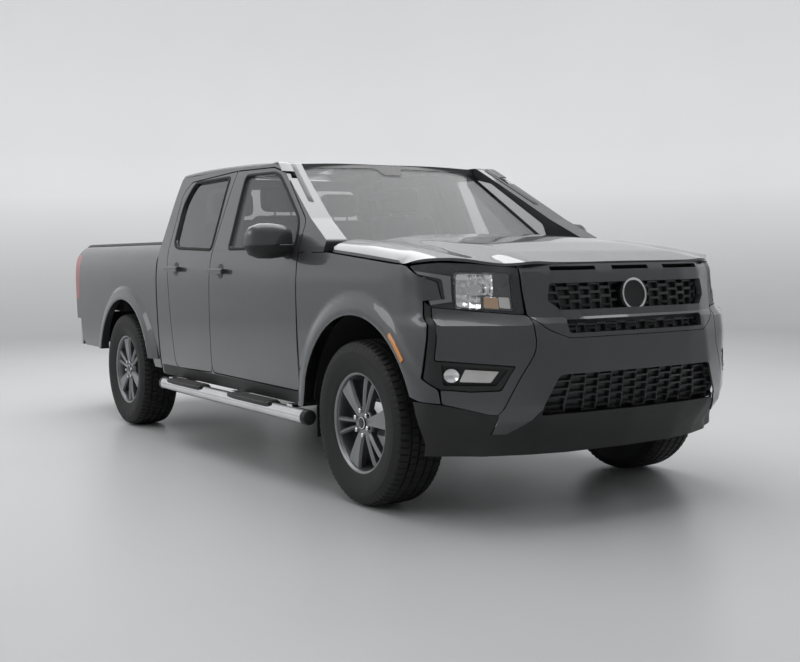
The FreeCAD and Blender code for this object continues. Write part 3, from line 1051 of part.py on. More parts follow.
def seat(x, y, half):
    cushion = side_prism([(x - 250.0, SILL_TOP_Z - 4.0 + SEAT_GAP, 0.0), (x - 250.0, 860.0, 60.0), (x + 260.0, 900.0, 60.0), (x + 260.0, 760.0, 60.0), (x + 200.0, SILL_TOP_Z - 4.0 + SEAT_GAP, 0.0)],
                         y - half, y + half)
    back = side_prism([(x - 260.0, 820.0, 40.0), (x - 420.0, 1390.0, 50.0), (x - 310.0, 1410.0, 50.0), (x - 140.0, 860.0, 30.0)], y - half, y + half)
    rest = side_prism([(x - 430.0, 1420.0, 30.0), (x - 450.0, 1570.0, 40.0), (x - 360.0, 1580.0, 40.0), (x - 340.0, 1420.0, 30.0)], y - 130.0, y + 130.0)
    stem = side_prism([(x - 380.0, 1380.0, 0.0), (x - 390.0, 1440.0, 0.0), (x - 370.0, 1440.0, 0.0), (x - 360.0, 1380.0, 0.0)], y - 50.0, y + 50.0)
    return fused([cushion, back, rest, stem])


def seats(floor):
    front = seat(FRONT_AXLE_X - 1310.0, -412.0, 230.0)
    rear = main_solid(seat(FRONT_AXLE_X - 2060.0, 0.0, 640.0).cut(floor))
    return Part.makeCompound([front, mirrored(front), rear])


STEER_COLUMN_TILT = 26.0
STEER_WHEEL_X = FRONT_AXLE_X - 960.0
STEER_WHEEL_Y = 400.0
STEER_WHEEL_Z = 1075.0


def steering_wheel():
    """Steering wheel with hub and spokes, turned about its column axis."""
    rim = Part.makeTorus(178.0, 15.0, Vector(0, 0, 0), Vector(1, 0, 0))
    hub = cylinder(58.0, (-14.0, 0.0, 0.0), (1, 0, 0), 50.0)
    parts = [rim, hub]
    for angle in (0.0, 180.0, 270.0):
        spoke = box(-8.0, 12.0, 40.0, 172.0, -16.0, 16.0)
        spoke.rotate(Vector(0, 0, 0), Vector(1, 0, 0), angle)
        parts.append(spoke)
    whole = fused(parts)
    whole.rotate(Vector(0, 0, 0), Vector(0, 1, 0), STEER_COLUMN_TILT)
    whole.translate(Vector(STEER_WHEEL_X, STEER_WHEEL_Y, STEER_WHEEL_Z))
    return whole


def steering_column():
    column = cylinder(26.0, (36.0 + SEAT_GAP, 0.0, 0.0), (1, 0, 0), 130.0)
    column.rotate(Vector(0, 0, 0), Vector(0, 1, 0), STEER_COLUMN_TILT)
    column.translate(Vector(STEER_WHEEL_X, STEER_WHEEL_Y, STEER_WHEEL_Z))
    return column


def placed(shape, x, y, z):
    moved = shape.copy()
    moved.translate(Vector(x, y, z))
    return moved


def save_wheels():
    tyre = wheel_tyre()
    for end, x in (("front", FRONT_AXLE_X), ("rear", REAR_AXLE_X)):
        for name, side in (("left", 1.0), ("right", -1.0)):
            save("tyre_" + end + "_" + name, placed(tyre, x, side * WHEEL_Y, HUB_Z))
            save("rim_" + end + "_" + name, placed(wheel_rim(side), x, side * WHEEL_Y, HUB_Z))


def save_doors():
    front = fused([door(FRONT_DOOR, FRONT_WINDOW), door_handle(FRONT_AXLE_X - 1550.0, 1076.0)])
    rear = fused([door(REAR_DOOR, REAR_WINDOW), door_handle(FRONT_AXLE_X - 2235.0, 1086.0)])
    pieces = {"front_door": front, "rear_door": rear, "front_door_glass": window_glass(FRONT_WINDOW),
              "rear_door_glass": window_glass(REAR_WINDOW), "mirror": mirror(front)}
    for name, shape in pieces.items():
        save(name + "_right", shape)
        save(name + "_left", mirrored(shape))


def with_lugs(panel, lugs):
    """Panel with mounting lugs on both sides."""
    return fused([panel] + lugs + [mirrored(lug) for lug in lugs])


def save_nose(hood_room):
    """Nose panels, all cut from one faceted shell."""
    shell = nose_shell().common(nose_side(-SHUT_GAP)).cut(front_arch_tool()).cut(liner_tool()).cut(hood_room)
    f = FRONT_AXLE_X
    grille = shell.common(nose_cut(GRILLE_OUTLINE)).cut(nose_cut(UPPER_OPENING)).cut(nose_cut(LOWER_SLOT))
    grille_lug = box(f + 540.0 + SEAT_GAP, f + 790.0, -500.0, -470.0, SHELF_Z - 20.0, SHELF_Z - 8.0)
    save("grille_surround", with_lugs(grille, [grille_lug]))
    lamp = main_solid(shell.common(front_prism(inset(HEADLAMP_OUTLINE, 3.0), f, f + 1200.0)))
    lamp_lug = box(f + 470.0 + SEAT_GAP, f + 690.0, 650.0, 680.0, SHELF_Z - 10.0, SHELF_Z)
    save("headlamps", pair(fused([lamp, lamp_lug])))
    bumper = shell.common(nose_cut(BUMPER_OUTLINE)).cut(nose_cut(LOWER_OPENING)).cut(side_pair_cut(FOG_OUTLINE))
    bumper = main_solid(bumper.cut(nose_cut(GRILLE_OUTLINE)).cut(side_pair_cut(HEADLAMP_OUTLINE)))
    bumper_lug = box(f + 700.0, f + 790.0, -565.0, -480.0 - SEAT_GAP, 530.0, 560.0)
    save("front_bumper", with_lugs(bumper, [bumper_lug]))
    valance = shell.common(nose_cut(VALANCE_OUTLINE))
    valance_lug = box(f + 700.0, f + 830.0, -340.0, -300.0, 440.0, 470.0 - SEAT_GAP)
    save("front_valance", with_lugs(valance, [valance_lug]))
    save("fog_lamps", shell.common(side_pair_cut(inset(FOG_OUTLINE, SEAT_GAP))))
    upper = front_prism(inset(symmetric(UPPER_OPENING), SEAT_GAP), f + 826.0, f + 832.0)
    lower = front_prism(inset(symmetric(LOWER_SLOT), SEAT_GAP), f + 856.0, f + 862.0)
    low = front_prism(inset(symmetric(LOWER_OPENING), SEAT_GAP), f + 820.0, f + 826.0)
    save("grille_mesh", Part.makeCompound([upper, lower, low]))
    return shell


def build():
    os.makedirs("parts", exist_ok=True)
    roof = roof_panel()
    floor = cab_floor()
    cab = cab_body(roof)
    hood_room = hood_shape(SHUT_GAP)
    save("chassis_frame", chassis_frame())
    save("powertrain", powertrain())
    save("exhaust", exhaust())
    save("front_suspension", front_suspension())
    save("rear_axle", rear_axle())
    save("fuel_tank", fuel_tank())
    save("spare_wheel", spare_wheel())
    save("cab_body", cab)
    save("cab_floor", floor)
    save("roof_panel", roof)
    save("fixed_glass", Part.makeCompound([windscreen(Part.makeCompound([roof, cab])), rear_glass()]))
    save("hood", hood())
    nose = save_nose(hood_room)
    save("front_fenders", pair(front_fender()))
    save("engine_bay", engine_bay(nose, hood_room))
    save("radiator", radiator())
    save("cowl_panel", cowl_panel())
    save("dashboard", dashboard(floor))
    save("seats", seats(floor))
    save("steering_wheel", steering_wheel())
    save("steering_column", steering_column())
    save("bed_sides", pair(bed_side()))
    save("bed_tub", bed_tub())
    save("tailgate", tailgate())
    save("tail_lamps", pair(tail_lamp(0.0)))
    save("rear_bumper", Part.makeCompound([rear_bumper(), tow_receiver()]))
    save("arch_liners", arch_liners())
    save("mud_flaps", mud_flaps())
    save("step_bars", step_bars())
    save_wheels()
    save_doors()
    front_knuckle = knuckle()
    save("knuckle_right", front_knuckle)
    save("knuckle_left", mirrored(front_knuckle))


build()
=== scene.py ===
import json
import math

import bmesh
import bpy
from mathutils import Matrix, Vector
from mathutils.bvhtree import BVHTree
from mathutils.geometry import delaunay_2d_cdt
from mathutils.kdtree import KDTree


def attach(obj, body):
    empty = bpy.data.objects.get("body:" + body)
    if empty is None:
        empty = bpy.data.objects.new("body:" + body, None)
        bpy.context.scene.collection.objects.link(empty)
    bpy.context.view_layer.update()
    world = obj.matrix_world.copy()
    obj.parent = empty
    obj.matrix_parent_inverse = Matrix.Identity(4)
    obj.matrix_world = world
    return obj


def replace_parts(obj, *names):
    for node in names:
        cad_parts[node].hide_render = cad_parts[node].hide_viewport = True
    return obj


# Looks of a four-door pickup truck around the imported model. Metres, +X forward, +Y to the truck's left.

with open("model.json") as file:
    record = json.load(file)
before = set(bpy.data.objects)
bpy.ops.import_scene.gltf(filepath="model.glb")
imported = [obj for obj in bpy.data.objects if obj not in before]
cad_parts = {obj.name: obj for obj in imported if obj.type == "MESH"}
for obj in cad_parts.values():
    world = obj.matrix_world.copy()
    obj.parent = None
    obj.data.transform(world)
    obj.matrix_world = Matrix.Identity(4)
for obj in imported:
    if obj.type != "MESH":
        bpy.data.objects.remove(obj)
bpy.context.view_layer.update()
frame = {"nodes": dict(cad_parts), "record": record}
record = frame["record"]
nodes = frame["nodes"]
scene = bpy.context.scene

SIDES = (("right", -1.0), ("left", 1.0))
FRONT_AXLE_X = 1.760
REAR_AXLE_X = -1.440

# Camera, solved from the photograph
CAMERA_PLACE = Vector((6.311, -3.531, 1.163))
CAMERA_YAW = math.radians(147.84)
CAMERA_PITCH = math.radians(-3.54)
CAMERA_ROLL = math.radians(-0.785)
CAMERA_LENS = 51.74
CAMERA_SHIFT = (0.0015, -0.0081)


def make_camera():
    ahead = Vector((math.cos(CAMERA_PITCH) * math.cos(CAMERA_YAW),
                    math.cos(CAMERA_PITCH) * math.sin(CAMERA_YAW),
                    math.sin(CAMERA_PITCH)))
    right = Vector((math.sin(CAMERA_YAW), -math.cos(CAMERA_YAW), 0.0))
    up = right.cross(ahead)
    right, up = (right * math.cos(CAMERA_ROLL) + up * math.sin(CAMERA_ROLL),
                 up * math.cos(CAMERA_ROLL) - right * math.sin(CAMERA_ROLL))
    data = bpy.data.cameras.new("camera")
    data.lens = CAMERA_LENS
    data.sensor_width = 36.0
    data.shift_x, data.shift_y = CAMERA_SHIFT
    data.clip_end = 200.0
    camera = bpy.data.objects.new("camera", data)
    turn = Matrix((right, up, -ahead)).transposed().to_4x4()
    camera.matrix_world = Matrix.Translation(CAMERA_PLACE) @ turn
    scene.collection.objects.link(camera)
    scene.camera = camera


# Building blocks for materials

EVEN = (1.0, 1.0, 1.0)


def set_inputs(node, values):
    """Sets constant inputs by name, with underscores for spaces."""
    for name, value in values.items():
        node.inputs[name.replace("_", " ")].default_value = value


def add(tree, kind, **values):
    """A shader node with its input values set by name."""
    node = tree.nodes.new(kind)
    set_inputs(node, values)
    return node


def place_coordinates(tree, stretch=EVEN):
    """Coordinates in metres that stay with the object."""
    source = tree.nodes.new("ShaderNodeTexCoord")
    mapping = add(tree, "ShaderNodeMapping", Scale=stretch)
    tree.links.new(source.outputs["Object"], mapping.inputs["Vector"])
    return mapping.outputs["Vector"]


def noise(tree, vector, scale, detail=2.0, roughness=0.5):
    node = add(tree, "ShaderNodeTexNoise", Scale=scale, Detail=detail, Roughness=roughness)
    tree.links.new(vector, node.inputs["Vector"])
    return node.outputs["Fac"]


def spread(tree, value, low, high, start=0.3, end=0.7):
    """Maps a value between start and end on to low and high."""
    node = add(tree, "ShaderNodeMapRange", From_Min=start, From_Max=end, To_Min=low, To_Max=high)
    tree.links.new(value, node.inputs["Value"])
    return node.outputs["Result"]


def shades(tree, value, dark, light, start=0.3, end=0.7):
    """Colour between two shades, by a value."""
    node = tree.nodes.new("ShaderNodeValToRGB")
    for element, place, colour in zip(node.color_ramp.elements, (start, end), (dark, light)):
        element.position = place
        element.color = (*colour, 1.0)
    tree.links.new(value, node.inputs["Fac"])
    return node.outputs["Color"]


def bump(tree, value, strength, distance):
    node = add(tree, "ShaderNodeBump", Strength=strength, Distance=distance)
    tree.links.new(value, node.inputs["Height"])
    return node.outputs["Normal"]


def product(tree, first, second):
    node = tree.nodes.new("ShaderNodeMath")
    node.operation = "MULTIPLY"
    tree.links.new(first, node.inputs[0])
    tree.links.new(second, node.inputs[1])
    return node.outputs["Value"]


def brighter(colour, share):
    return tuple(min(1.0, c * share) for c in colour)


def shader_of(material):
    return material.node_tree.nodes["Principled BSDF"]


def finish(name, clouds, dark, light, **constants):
    """A material whose colour lies in clouds between two shades; the rest are constant inputs."""
    material = bpy.data.materials.new(name)
    material.use_nodes = True
    tree = material.node_tree
    cloud = noise(tree, place_coordinates(tree), *clouds)
    tree.links.new(shades(tree, cloud, dark, light), shader_of(material).inputs["Base Color"])
    set_inputs(shader_of(material), constants)
    return material


def uneven(material, clouds, low, high):
    """Roughness that wanders between two values."""
    tree = material.node_tree
    cloud = noise(tree, place_coordinates(tree), *clouds)
    tree.links.new(spread(tree, cloud, low, high), shader_of(material).inputs["Roughness"])


def relief(material, grain, strength, distance, socket="Normal", stretch=EVEN):
    """Fine bumps in the surface or in its clear coat."""
    tree = material.node_tree
    value = noise(tree, place_coordinates(tree, stretch), *grain)
    tree.links.new(bump(tree, value, strength, distance), shader_of(material).inputs[socket])


def body_paint(name):
    """Dark grey metallic lacquer: fine flakes under a clear coat with a faint orange peel."""
    flakes = (900.0, 1.0)
    material = finish(name, flakes, (0.056, 0.057, 0.061), (0.100, 0.101, 0.107),
                      Metallic=0.72, Coat_Weight=1.0, Coat_Roughness=0.035, Coat_IOR=1.5)
    uneven(material, (1.3, 2.0), 0.36, 0.42)
    relief(material, flakes, 0.12, 0.0004)
    relief(material, (180.0, 1.0), 0.02, 0.0006, "Coat Normal")
    return material


def plain_paint(name, dark, light, roughness, coat):
    clouds = (9.0, 4.0)
    material = finish(name, clouds, dark, light, Coat_Weight=coat)
    uneven(material, clouds, roughness - 0.06, roughness + 0.08)
    relief(material, (420.0, 2.0), 0.15, 0.0005)
    return material


def cast_metal(name):
    pits = (260.0, 3.0)
    material = finish(name, (22.0, 4.0), (0.17, 0.165, 0.16), (0.30, 0.295, 0.29), Metallic=0.85)
    uneven(material, pits, 0.48, 0.68)
    relief(material, pits, 0.4, 0.001)
    return material


def exhaust_steel(name):
    clouds = (6.0, 5.0)
    material = finish(name, clouds, (0.20, 0.17, 0.14), (0.44, 0.42, 0.40), Metallic=0.9)
    uneven(material, clouds, 0.5, 0.34)
    relief(material, (300.0,), 0.1, 0.0005)
    return material


def bright_metal(name):
    """Polished steel with faint draw lines along the truck."""
    smear = (5.0, 3.0)
    material = finish(name, smear, (0.66, 0.66, 0.67), (0.80, 0.80, 0.81), Metallic=1.0)
    uneven(material, smear, 0.08, 0.17)
    relief(material, (14.0, 3.0), 0.02, 0.0004, stretch=(1.0, 60.0, 60.0))
    return material


def wheel_alloy(name):
    flakes = (800.0, 1.0)
    material = finish(name, flakes, (0.17, 0.172, 0.178), (0.27, 0.273, 0.28),
                      Metallic=0.8, Coat_Weight=0.6, Coat_Roughness=0.12)
    uneven(material, (16.0, 4.0), 0.30, 0.42)
    relief(material, flakes, 0.08, 0.0003)
    return material


def rubber(name, dark, light, grain_scale, roughness):
    dust = (14.0, 5.0, 0.6)
    material = finish(name, dust, dark, light, Specular_IOR_Level=0.35)
    uneven(material, dust, roughness - 0.08, roughness + 0.1)
    relief(material, (grain_scale, 3.0), 0.25, 0.0008)
    return material


def moulded_plastic(name, dark, light, roughness, grain_scale):
    """Moulded plastic with a fine pebble grain."""
    clouds = (7.0, 4.0)
    material = finish(name, clouds, dark, light)
    uneven(material, clouds, roughness - 0.05, roughness + 0.07)
    tree = material.node_tree
    pebble = add(tree, "ShaderNodeTexVoronoi", Scale=grain_scale)
    tree.links.new(place_coordinates(tree), pebble.inputs["Vector"])
    tree.links.new(bump(tree, pebble.outputs["Distance"], 0.22, 0.0006), shader_of(material).inputs["Normal"])
    return material


def fabric(name, dark, light, scale):
    """Woven cloth: two crossed waves of threads."""
    material = finish(name, (60.0, 4.0), dark, light, Roughness=0.88, Sheen_Weight=0.25)
    tree = material.node_tree
    threads = []
    for direction in ("X", "Y"):
        wave = add(tree, "ShaderNodeTexWave", Scale=scale, Distortion=0.6)
        wave.bands_direction = direction
        tree.links.new(place_coordinates(tree), wave.inputs["Vector"])
        threads.append(wave.outputs["Fac"])
    weave = product(tree, *threads)
    tree.links.new(bump(tree, weave, 0.4, 0.0008), shader_of(material).inputs["Normal"])
    return material


def glass(name, tint, clear, roughness):
    """Thin window glass: see-through by its own share, with a mirror gloss."""
    smear = (3.0, 3.0)
    material = finish(name, smear, tint, brighter(tint, 1.06), IOR=1.5, Alpha=1.0 - clear,
                      Coat_Weight=1.0, Coat_Roughness=0.0)
    uneven(material, smear, roughness, roughness + 0.02)
    return material


def lens(name, tint, clear):
    """Lamp glass with faint upright flutes."""
    material = finish(name, (12.0, 2.0), tint, brighter(tint, 1.12), Roughness=0.06,
                      Alpha=1.0 - clear, Coat_Weight=1.0)
    relief(material, (12.0, 1.0), 0.05, 0.001, stretch=(1.0, 40.0, 1.0))
    return material


MATERIALS = {name: make(name, *values) for name, make, *values in (
    ("body_paint", body_paint),
    ("bed_paint", plain_paint, (0.055, 0.056, 0.058), (0.085, 0.086, 0.09), 0.5, 0.1),
    ("frame_black", plain_paint, (0.012, 0.012, 0.012), (0.028, 0.027, 0.026), 0.55, 0.0),
    ("cast_metal", cast_metal),
    ("exhaust_steel", exhaust_steel),
    ("bright_metal", bright_metal),
    ("wheel_alloy", wheel_alloy),
    ("tyre_rubber", rubber, (0.008, 0.008, 0.008), (0.02, 0.02, 0.02), 220.0, 0.62),
    ("black_rubber", rubber, (0.008, 0.008, 0.008), (0.018, 0.018, 0.018), 300.0, 0.7),
    ("black_plastic", moulded_plastic, (0.010, 0.010, 0.011), (0.020, 0.020, 0.021), 0.52, 520.0),
    ("interior_dark", moulded_plastic, (0.020, 0.020, 0.022), (0.036, 0.036, 0.038), 0.62, 480.0),
    ("seat_fabric", fabric, (0.030, 0.030, 0.033), (0.060, 0.060, 0.064), 120.0),
    ("clear_glass", glass, (0.16, 0.17, 0.17), 0.72, 0.0),
    ("dark_glass", glass, (0.012, 0.013, 0.015), 0.18, 0.01),
    ("lamp_clear", lens, (0.72, 0.74, 0.76), 0.2),
    ("lamp_red", lens, (0.35, 0.008, 0.01), 0.1),
)}
GRILLE_BLACK = moulded_plastic("grille_black", (0.006, 0.006, 0.007), (0.012, 0.012, 0.013), 0.30, 520.0)
GRILLE_BARS = moulded_plastic("grille_bars", (0.030, 0.031, 0.033), (0.046, 0.047, 0.050), 0.26, 600.0)
LAMP_HOUSING = moulded_plastic("lamp_housing", (0.026, 0.027, 0.029), (0.040, 0.041, 0.044), 0.24, 700.0)
LIGHT_GUIDE = moulded_plastic("light_guide", (0.150, 0.154, 0.160), (0.190, 0.194, 0.200), 0.24, 640.0)
WHEEL_CAP = moulded_plastic("wheel_cap", (0.012, 0.012, 0.013), (0.020, 0.020, 0.021), 0.30, 700.0)
LAMP_COVER = glass("lamp_cover", (0.55, 0.57, 0.58), 0.93, 0.0)
CHROME = bright_metal("reflector")
AMBER_LENS = lens("amber_lens", (0.62, 0.21, 0.012), 0.05)
TURN_AMBER = lens("turn_amber", (0.50, 0.31, 0.17), 0.10)
PALE_LENS = lens("pale_lens", (0.62, 0.62, 0.60), 0.12)


def dress_nodes():
    """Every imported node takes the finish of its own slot."""
    for part in record["subparts"]:
        mesh = nodes[part["node"]].data
        mesh.materials.clear()
        mesh.materials.append(MATERIALS[part["material_slot"]])


# Studio

STUDIO_RADIUS = 13.5
STUDIO_HEIGHT = 9.0
STUDIO_SIDES = 96
COVE_RADIUS = 3.0
COVE_STEPS = 12
FLOOR_DROP = 0.0005
WALL_GLOW_HEIGHT = 2.2
WALL_GLOW_BACK = 0.40
WALL_GLOW_FRONT = 0.06
WALL_GLOW_FADE = (-2.0, 9.0)
LIGHTS = (
    ("ceiling", (-1.5, 0.5, 5.6), (-1.5, 0.5, 0.0), (10.0, 7.5), 480.0),
    ("side", (-2.0, -8.5, 4.6), (-0.5, 0.0, 0.6), (8.0, 3.0), 130.0),
)
WORLD_COLOUR = (0.80, 0.81, 0.82, 1.0)
WORLD_STRENGTH = 0.62


def studio_material():
    """Pale matte bowl; its wall is lit from within, most behind the truck and least ahead of it."""
    material = finish("studio", (0.35, 3.0), (0.50, 0.505, 0.508), (0.54, 0.543, 0.546), Roughness=0.32,
                      Specular_IOR_Level=0.4, Emission_Color=(0.97, 0.985, 1.0, 1.0))
    relief(material, (2.2, 2.0), 0.03, 0.01)
    tree = material.node_tree
    axes = tree.nodes.new("ShaderNodeSeparateXYZ")
    tree.links.new(place_coordinates(tree), axes.inputs["Vector"])
    rise = spread(tree, axes.outputs["Z"], 0.0, 1.0, 0.0, WALL_GLOW_HEIGHT)
    fade = spread(tree, axes.outputs["X"], WALL_GLOW_BACK, WALL_GLOW_FRONT, *WALL_GLOW_FADE)
    tree.links.new(product(tree, rise, fade), shader_of(material).inputs["Emission Strength"])
    return material


def turns(count):
    """Equal angles all the way round."""
    return [2.0 * math.pi * k / count for k in range(count)]


def make_studio():
    """Round floor that coves up into a wall all the way round."""
    profile = [(4.0, 0.0), (8.0, 0.0)]
    for i in range(COVE_STEPS + 1):
        turn = math.pi / 2.0 * i / COVE_STEPS
        profile.append((STUDIO_RADIUS - COVE_RADIUS + COVE_RADIUS * math.sin(turn),
                        COVE_RADIUS - COVE_RADIUS * math.cos(turn)))
    profile.append((STUDIO_RADIUS, STUDIO_HEIGHT))
    verts = [(0.0, 0.0, -FLOOR_DROP)]
    for radius, z in profile:
        verts.extend((radius * math.cos(t), radius * math.sin(t), z - FLOOR_DROP)
                     for t in turns(STUDIO_SIDES))
    faces = [(0, 1 + k, 1 + (k + 1) % STUDIO_SIDES) for k in range(STUDIO_SIDES)]
    rings = grid_faces(len(profile), STUDIO_SIDES, columns_meet=True, start=1)
    faces.extend((a, d, c, b) for a, b, c, d in rings)
    mesh = bpy.data.meshes.new("studio")
    mesh.from_pydata(verts, [], faces)
    mesh.materials.append(studio_material())
    for face in mesh.polygons:
        face.use_smooth = True
    studio = bpy.data.objects.new("studio", mesh)
    scene.collection.objects.link(studio)


def make_lights():
    for name, place, target, size, power in LIGHTS:
        data = bpy.data.lights.new(name, "AREA")
        data.shape = "RECTANGLE"
        data.size, data.size_y = size
        data.energy = power
        light = bpy.data.objects.new(name, data)
        light.location = place
        light.rotation_mode = "QUATERNION"
        light.rotation_quaternion = (Vector(target) - Vector(place)).to_track_quat("-Z", "Y")
        scene.collection.objects.link(light)
    world = bpy.data.worlds.new("studio_world")
    world.use_nodes = True
    background = world.node_tree.nodes["Background"]
    background.inputs["Color"].default_value = WORLD_COLOUR
    background.inputs["Strength"].default_value = WORLD_STRENGTH
    scene.world = world
    scene.view_settings.view_transform = "Standard"


# Building blocks for shapes


def unit(v):
    return v.normalized()


def shape(name, verts, faces, slot, body, material=None, sharp=35.0):
    """A piece from plain points and faces, with its finish, that rides on a body."""
    mesh = bpy.data.meshes.new(name)
    mesh.from_pydata([tuple(v) for v in verts], [], faces)
    mesh.validate()
    build = bmesh.new()
    build.from_mesh(mesh)
    bmesh.ops.remove_doubles(build, verts=build.verts, dist=0.00002)
    bmesh.ops.recalc_face_normals(build, faces=build.faces)
    build.to_mesh(mesh)
    build.free()
    mesh.materials.append(material or MATERIALS[slot])
    for face in mesh.polygons:
        face.use_smooth = True
    mesh.set_sharp_from_angle(angle=math.radians(sharp))
    piece = bpy.data.objects.new(name, mesh)
    scene.collection.objects.link(piece)
    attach(piece, body)
    return piece


def grid_faces(rows, columns, rows_meet=False, columns_meet=False, start=0):
    """Faces between rows of points laid out one after another."""
    faces = []
    for i in range(rows if rows_meet else rows - 1):
        for k in range(columns if columns_meet else columns - 1):
            a = start + i * columns + k
            b = start + i * columns + (k + 1) % columns
            c = start + (i + 1) % rows * columns + (k + 1) % columns
            d = start + (i + 1) % rows * columns + k
            faces.append((a, b, c, d))
    return faces


class Heap:
    """Points and faces gathered from several closed forms into one mesh."""

    def __init__(self):
        self.verts = []
        self.faces = []

    def add(self, verts, faces):
        start = len(self.verts)
        self.verts.extend(verts)
        self.faces.extend(tuple(start + i for i in face) for face in faces)

    def loft(self, rings, ends=True):
        """A tube through rings of equal length, closed at both ends."""
        count = len(rings[0])
        faces = grid_faces(len(rings), count, columns_meet=True)
        if ends:
            faces.append(tuple(range(count)))
            faces.append(tuple(range((len(rings) - 1) * count, len(rings) * count)))
        self.add([v for ring in rings for v in ring], faces)

    def revolve(self, profile, place, around=48, closed=True):
        """A profile of (along, radius) turned about an axis; place maps (along, radius, turn)."""
        rings = [[place(a, r, turn) for a, r in profile] for turn in turns(around)]
        self.add([v for ring in rings for v in ring],
                 grid_faces(around, len(profile), rows_meet=True, columns_meet=closed))

    def piece(self, name, slot, body, material=None, sharp=35.0):
        return shape(name, self.verts, self.faces, slot, body, material, sharp)


def rounded(corners, steps=5):
    """Closed outline through corners (u, v, radius) with round corners."""
    points = []
    count = len(corners)
    for i, (u, v, radius) in enumerate(corners):
        here = Vector((u, v))
        last = Vector(corners[i - 1][:2]) - here
        following = Vector(corners[(i + 1) % count][:2]) - here
        reach = min(radius, 0.45 * last.length, 0.45 * following.length)
        if reach <= 0.0:
            points.append(here)
            continue
        a = here + unit(last) * reach
        b = here + unit(following) * reach
        for k in range(steps + 1):
            t = k / steps
            points.append(a * (1 - t) ** 2 + here * 2 * t * (1 - t) + b * t ** 2)
    return points


def dense(points, step, closed=True):
    """The same line with points at most a step apart."""
    result = []
    count = len(points)
    for i in range(count if closed else count - 1):
        a = points[i]
        b = points[(i + 1) % count]
        parts = max(1, math.ceil((b - a).length / step))
        result.extend(a.lerp(b, k / parts) for k in range(parts))
    if not closed:
        result.append(points[-1])
    return result


def widened(points, width):
    """A closed flat outline moved outward by a width."""
    area = sum(a.x * b.y - b.x * a.y for a, b in zip(points, points[1:] + points[:1]))
    turn = 1.0 if area > 0.0 else -1.0
    moved = []
    count = len(points)
    for i in range(count):
        along = unit(points[(i + 1) % count] - points[i - 1])
        moved.append(points[i] + Vector((along.y, -along.x)) * width * turn)
    return moved


def inside(point, outline):
    odd = False
    count = len(outline)
    for i in range(count):
        a = outline[i]
        b = outline[(i + 1) % count]
        if (a.y > point.y) != (b.y > point.y):
            if point.x < a.x + (b.x - a.x) * (point.y - a.y) / (b.y - a.y):
                odd = not odd
    return odd


def surfaces(*names):
    """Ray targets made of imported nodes."""
    trees = []
    for name in names:
        mesh = nodes[name].data
        trees.append(BVHTree.FromPolygons([v.co.copy() for v in mesh.vertices],
                                          [tuple(face.vertices) for face in mesh.polygons]))
    return trees


def touch(trees, start, ahead):
    """First point, and the normal there, that a ray meets."""
    best = None
    for tree in trees:
        place, normal, index, distance = tree.ray_cast(Vector(start), Vector(ahead))
        if place is not None and (best is None or distance < best[2]):
            best = (place, normal, distance)
    if best is None:
        return None
    place, normal, distance = best
    if normal.dot(Vector(ahead)) > 0.0:
        normal = -normal
    return place, normal


RAY_START_Y = 1.5


def met(trees, side, outline):
    """Points and normals where rays from one side meet the trees, for flat points (x, z)."""
    hits = [touch(trees, (p.x, side * RAY_START_Y, p.y), (0.0, -side, 0.0)) for p in outline]
    return [hit for hit in hits if hit is not None]


def strip(name, hits, width, height, slot, body, closed=True, material=None, sink=0.001):
    """A moulding with rounded edges along a line of surface points."""
    heap = Heap()
    heap_strip(heap, hits, width, height, closed, sink)
    return heap.piece(name, slot, body, material, 50.0)


def heap_strip(heap, hits, width, height, closed, sink=0.001):
    count = len(hits)
    rings = []
    for i, (place, normal) in enumerate(hits):
        after = hits[(i + 1) % count][0] if closed or i + 1 < count else place
        before = hits[i - 1][0] if closed or i > 0 else place
        along = unit(after - before)
        across = unit(along.cross(normal))
        half = width / 2.0
        section = [(-half, -sink), (-half, height * 0.55), (-half * 0.72, height), (half * 0.72, height),
                   (half, height * 0.55), (half, -sink)]
        rings.append([place + across * u + normal * h for u, h in section])
    if closed:
        heap.add([v for ring in rings for v in ring], grid_faces(count, 6, rows_meet=True, columns_meet=True))
    else:
        heap.loft(rings)


def block(heap, low, high, soften):
    """A box with its long edges chamfered, for small fittings."""
    (x0, y0, z0), (x1, y1, z1), s = low, high, soften
    rings = []
    for x, inset in ((x0, s), (x0 + s, 0.0), (x1 - s, 0.0), (x1, s)):
        a, b, c, d = y0 + inset, y1 - inset, z0 + inset, z1 - inset
        section = ((a + s, c), (b - s, c), (b, c + s), (b, d - s),
                   (b - s, d), (a + s, d), (a, d - s), (a, c + s))
        rings.append([Vector((x, y, z)) for y, z in section])
    heap.loft(rings)


def fittings(name, slot, body, boxes, material=None):
    """Small boxes in one piece, each given by two corners and its chamfer."""
    heap = Heap()
    for low, high, soften in boxes:
        block(heap, low, high, soften)
    heap.piece(name, slot, body, material, 30.0)


def rod(heap, points, radius, around=12):
    """Round bar along a line of points."""
    rings = []
    for i, p in enumerate(points):
        after = points[min(i + 1, len(points) - 1)]
        before = points[max(i - 1, 0)]
        along = unit(after - before)
        across = along.orthogonal().normalized() if i == 0 else unit(along.cross(last_up))
        up = unit(across.cross(along))
        last_up = up
        rings.append([p + (across * math.cos(t) + up * math.sin(t)) * radius
                      for t in (2.0 * math.pi * k / around for k in range(around))])
    heap.loft(rings)


def about(point, ahead, across, up, stretch=1.0):
    """Maps (along, radius, turn) to places about an axis; stretch widens the circle across it."""
    def place(along, r, turn):
        return point + ahead * along + across * (stretch * r * math.cos(turn)) + up * (r * math.sin(turn))
    return place


def turned(name, profile, place, around, slot, body, material=None, closed=False):
    """A round piece: its profile ends on the axis, or is the closed section of a ring."""
    heap = Heap()
    heap.revolve(profile, place, around, closed)
    heap.piece(name, slot, body, material, 30.0)


# Wheels

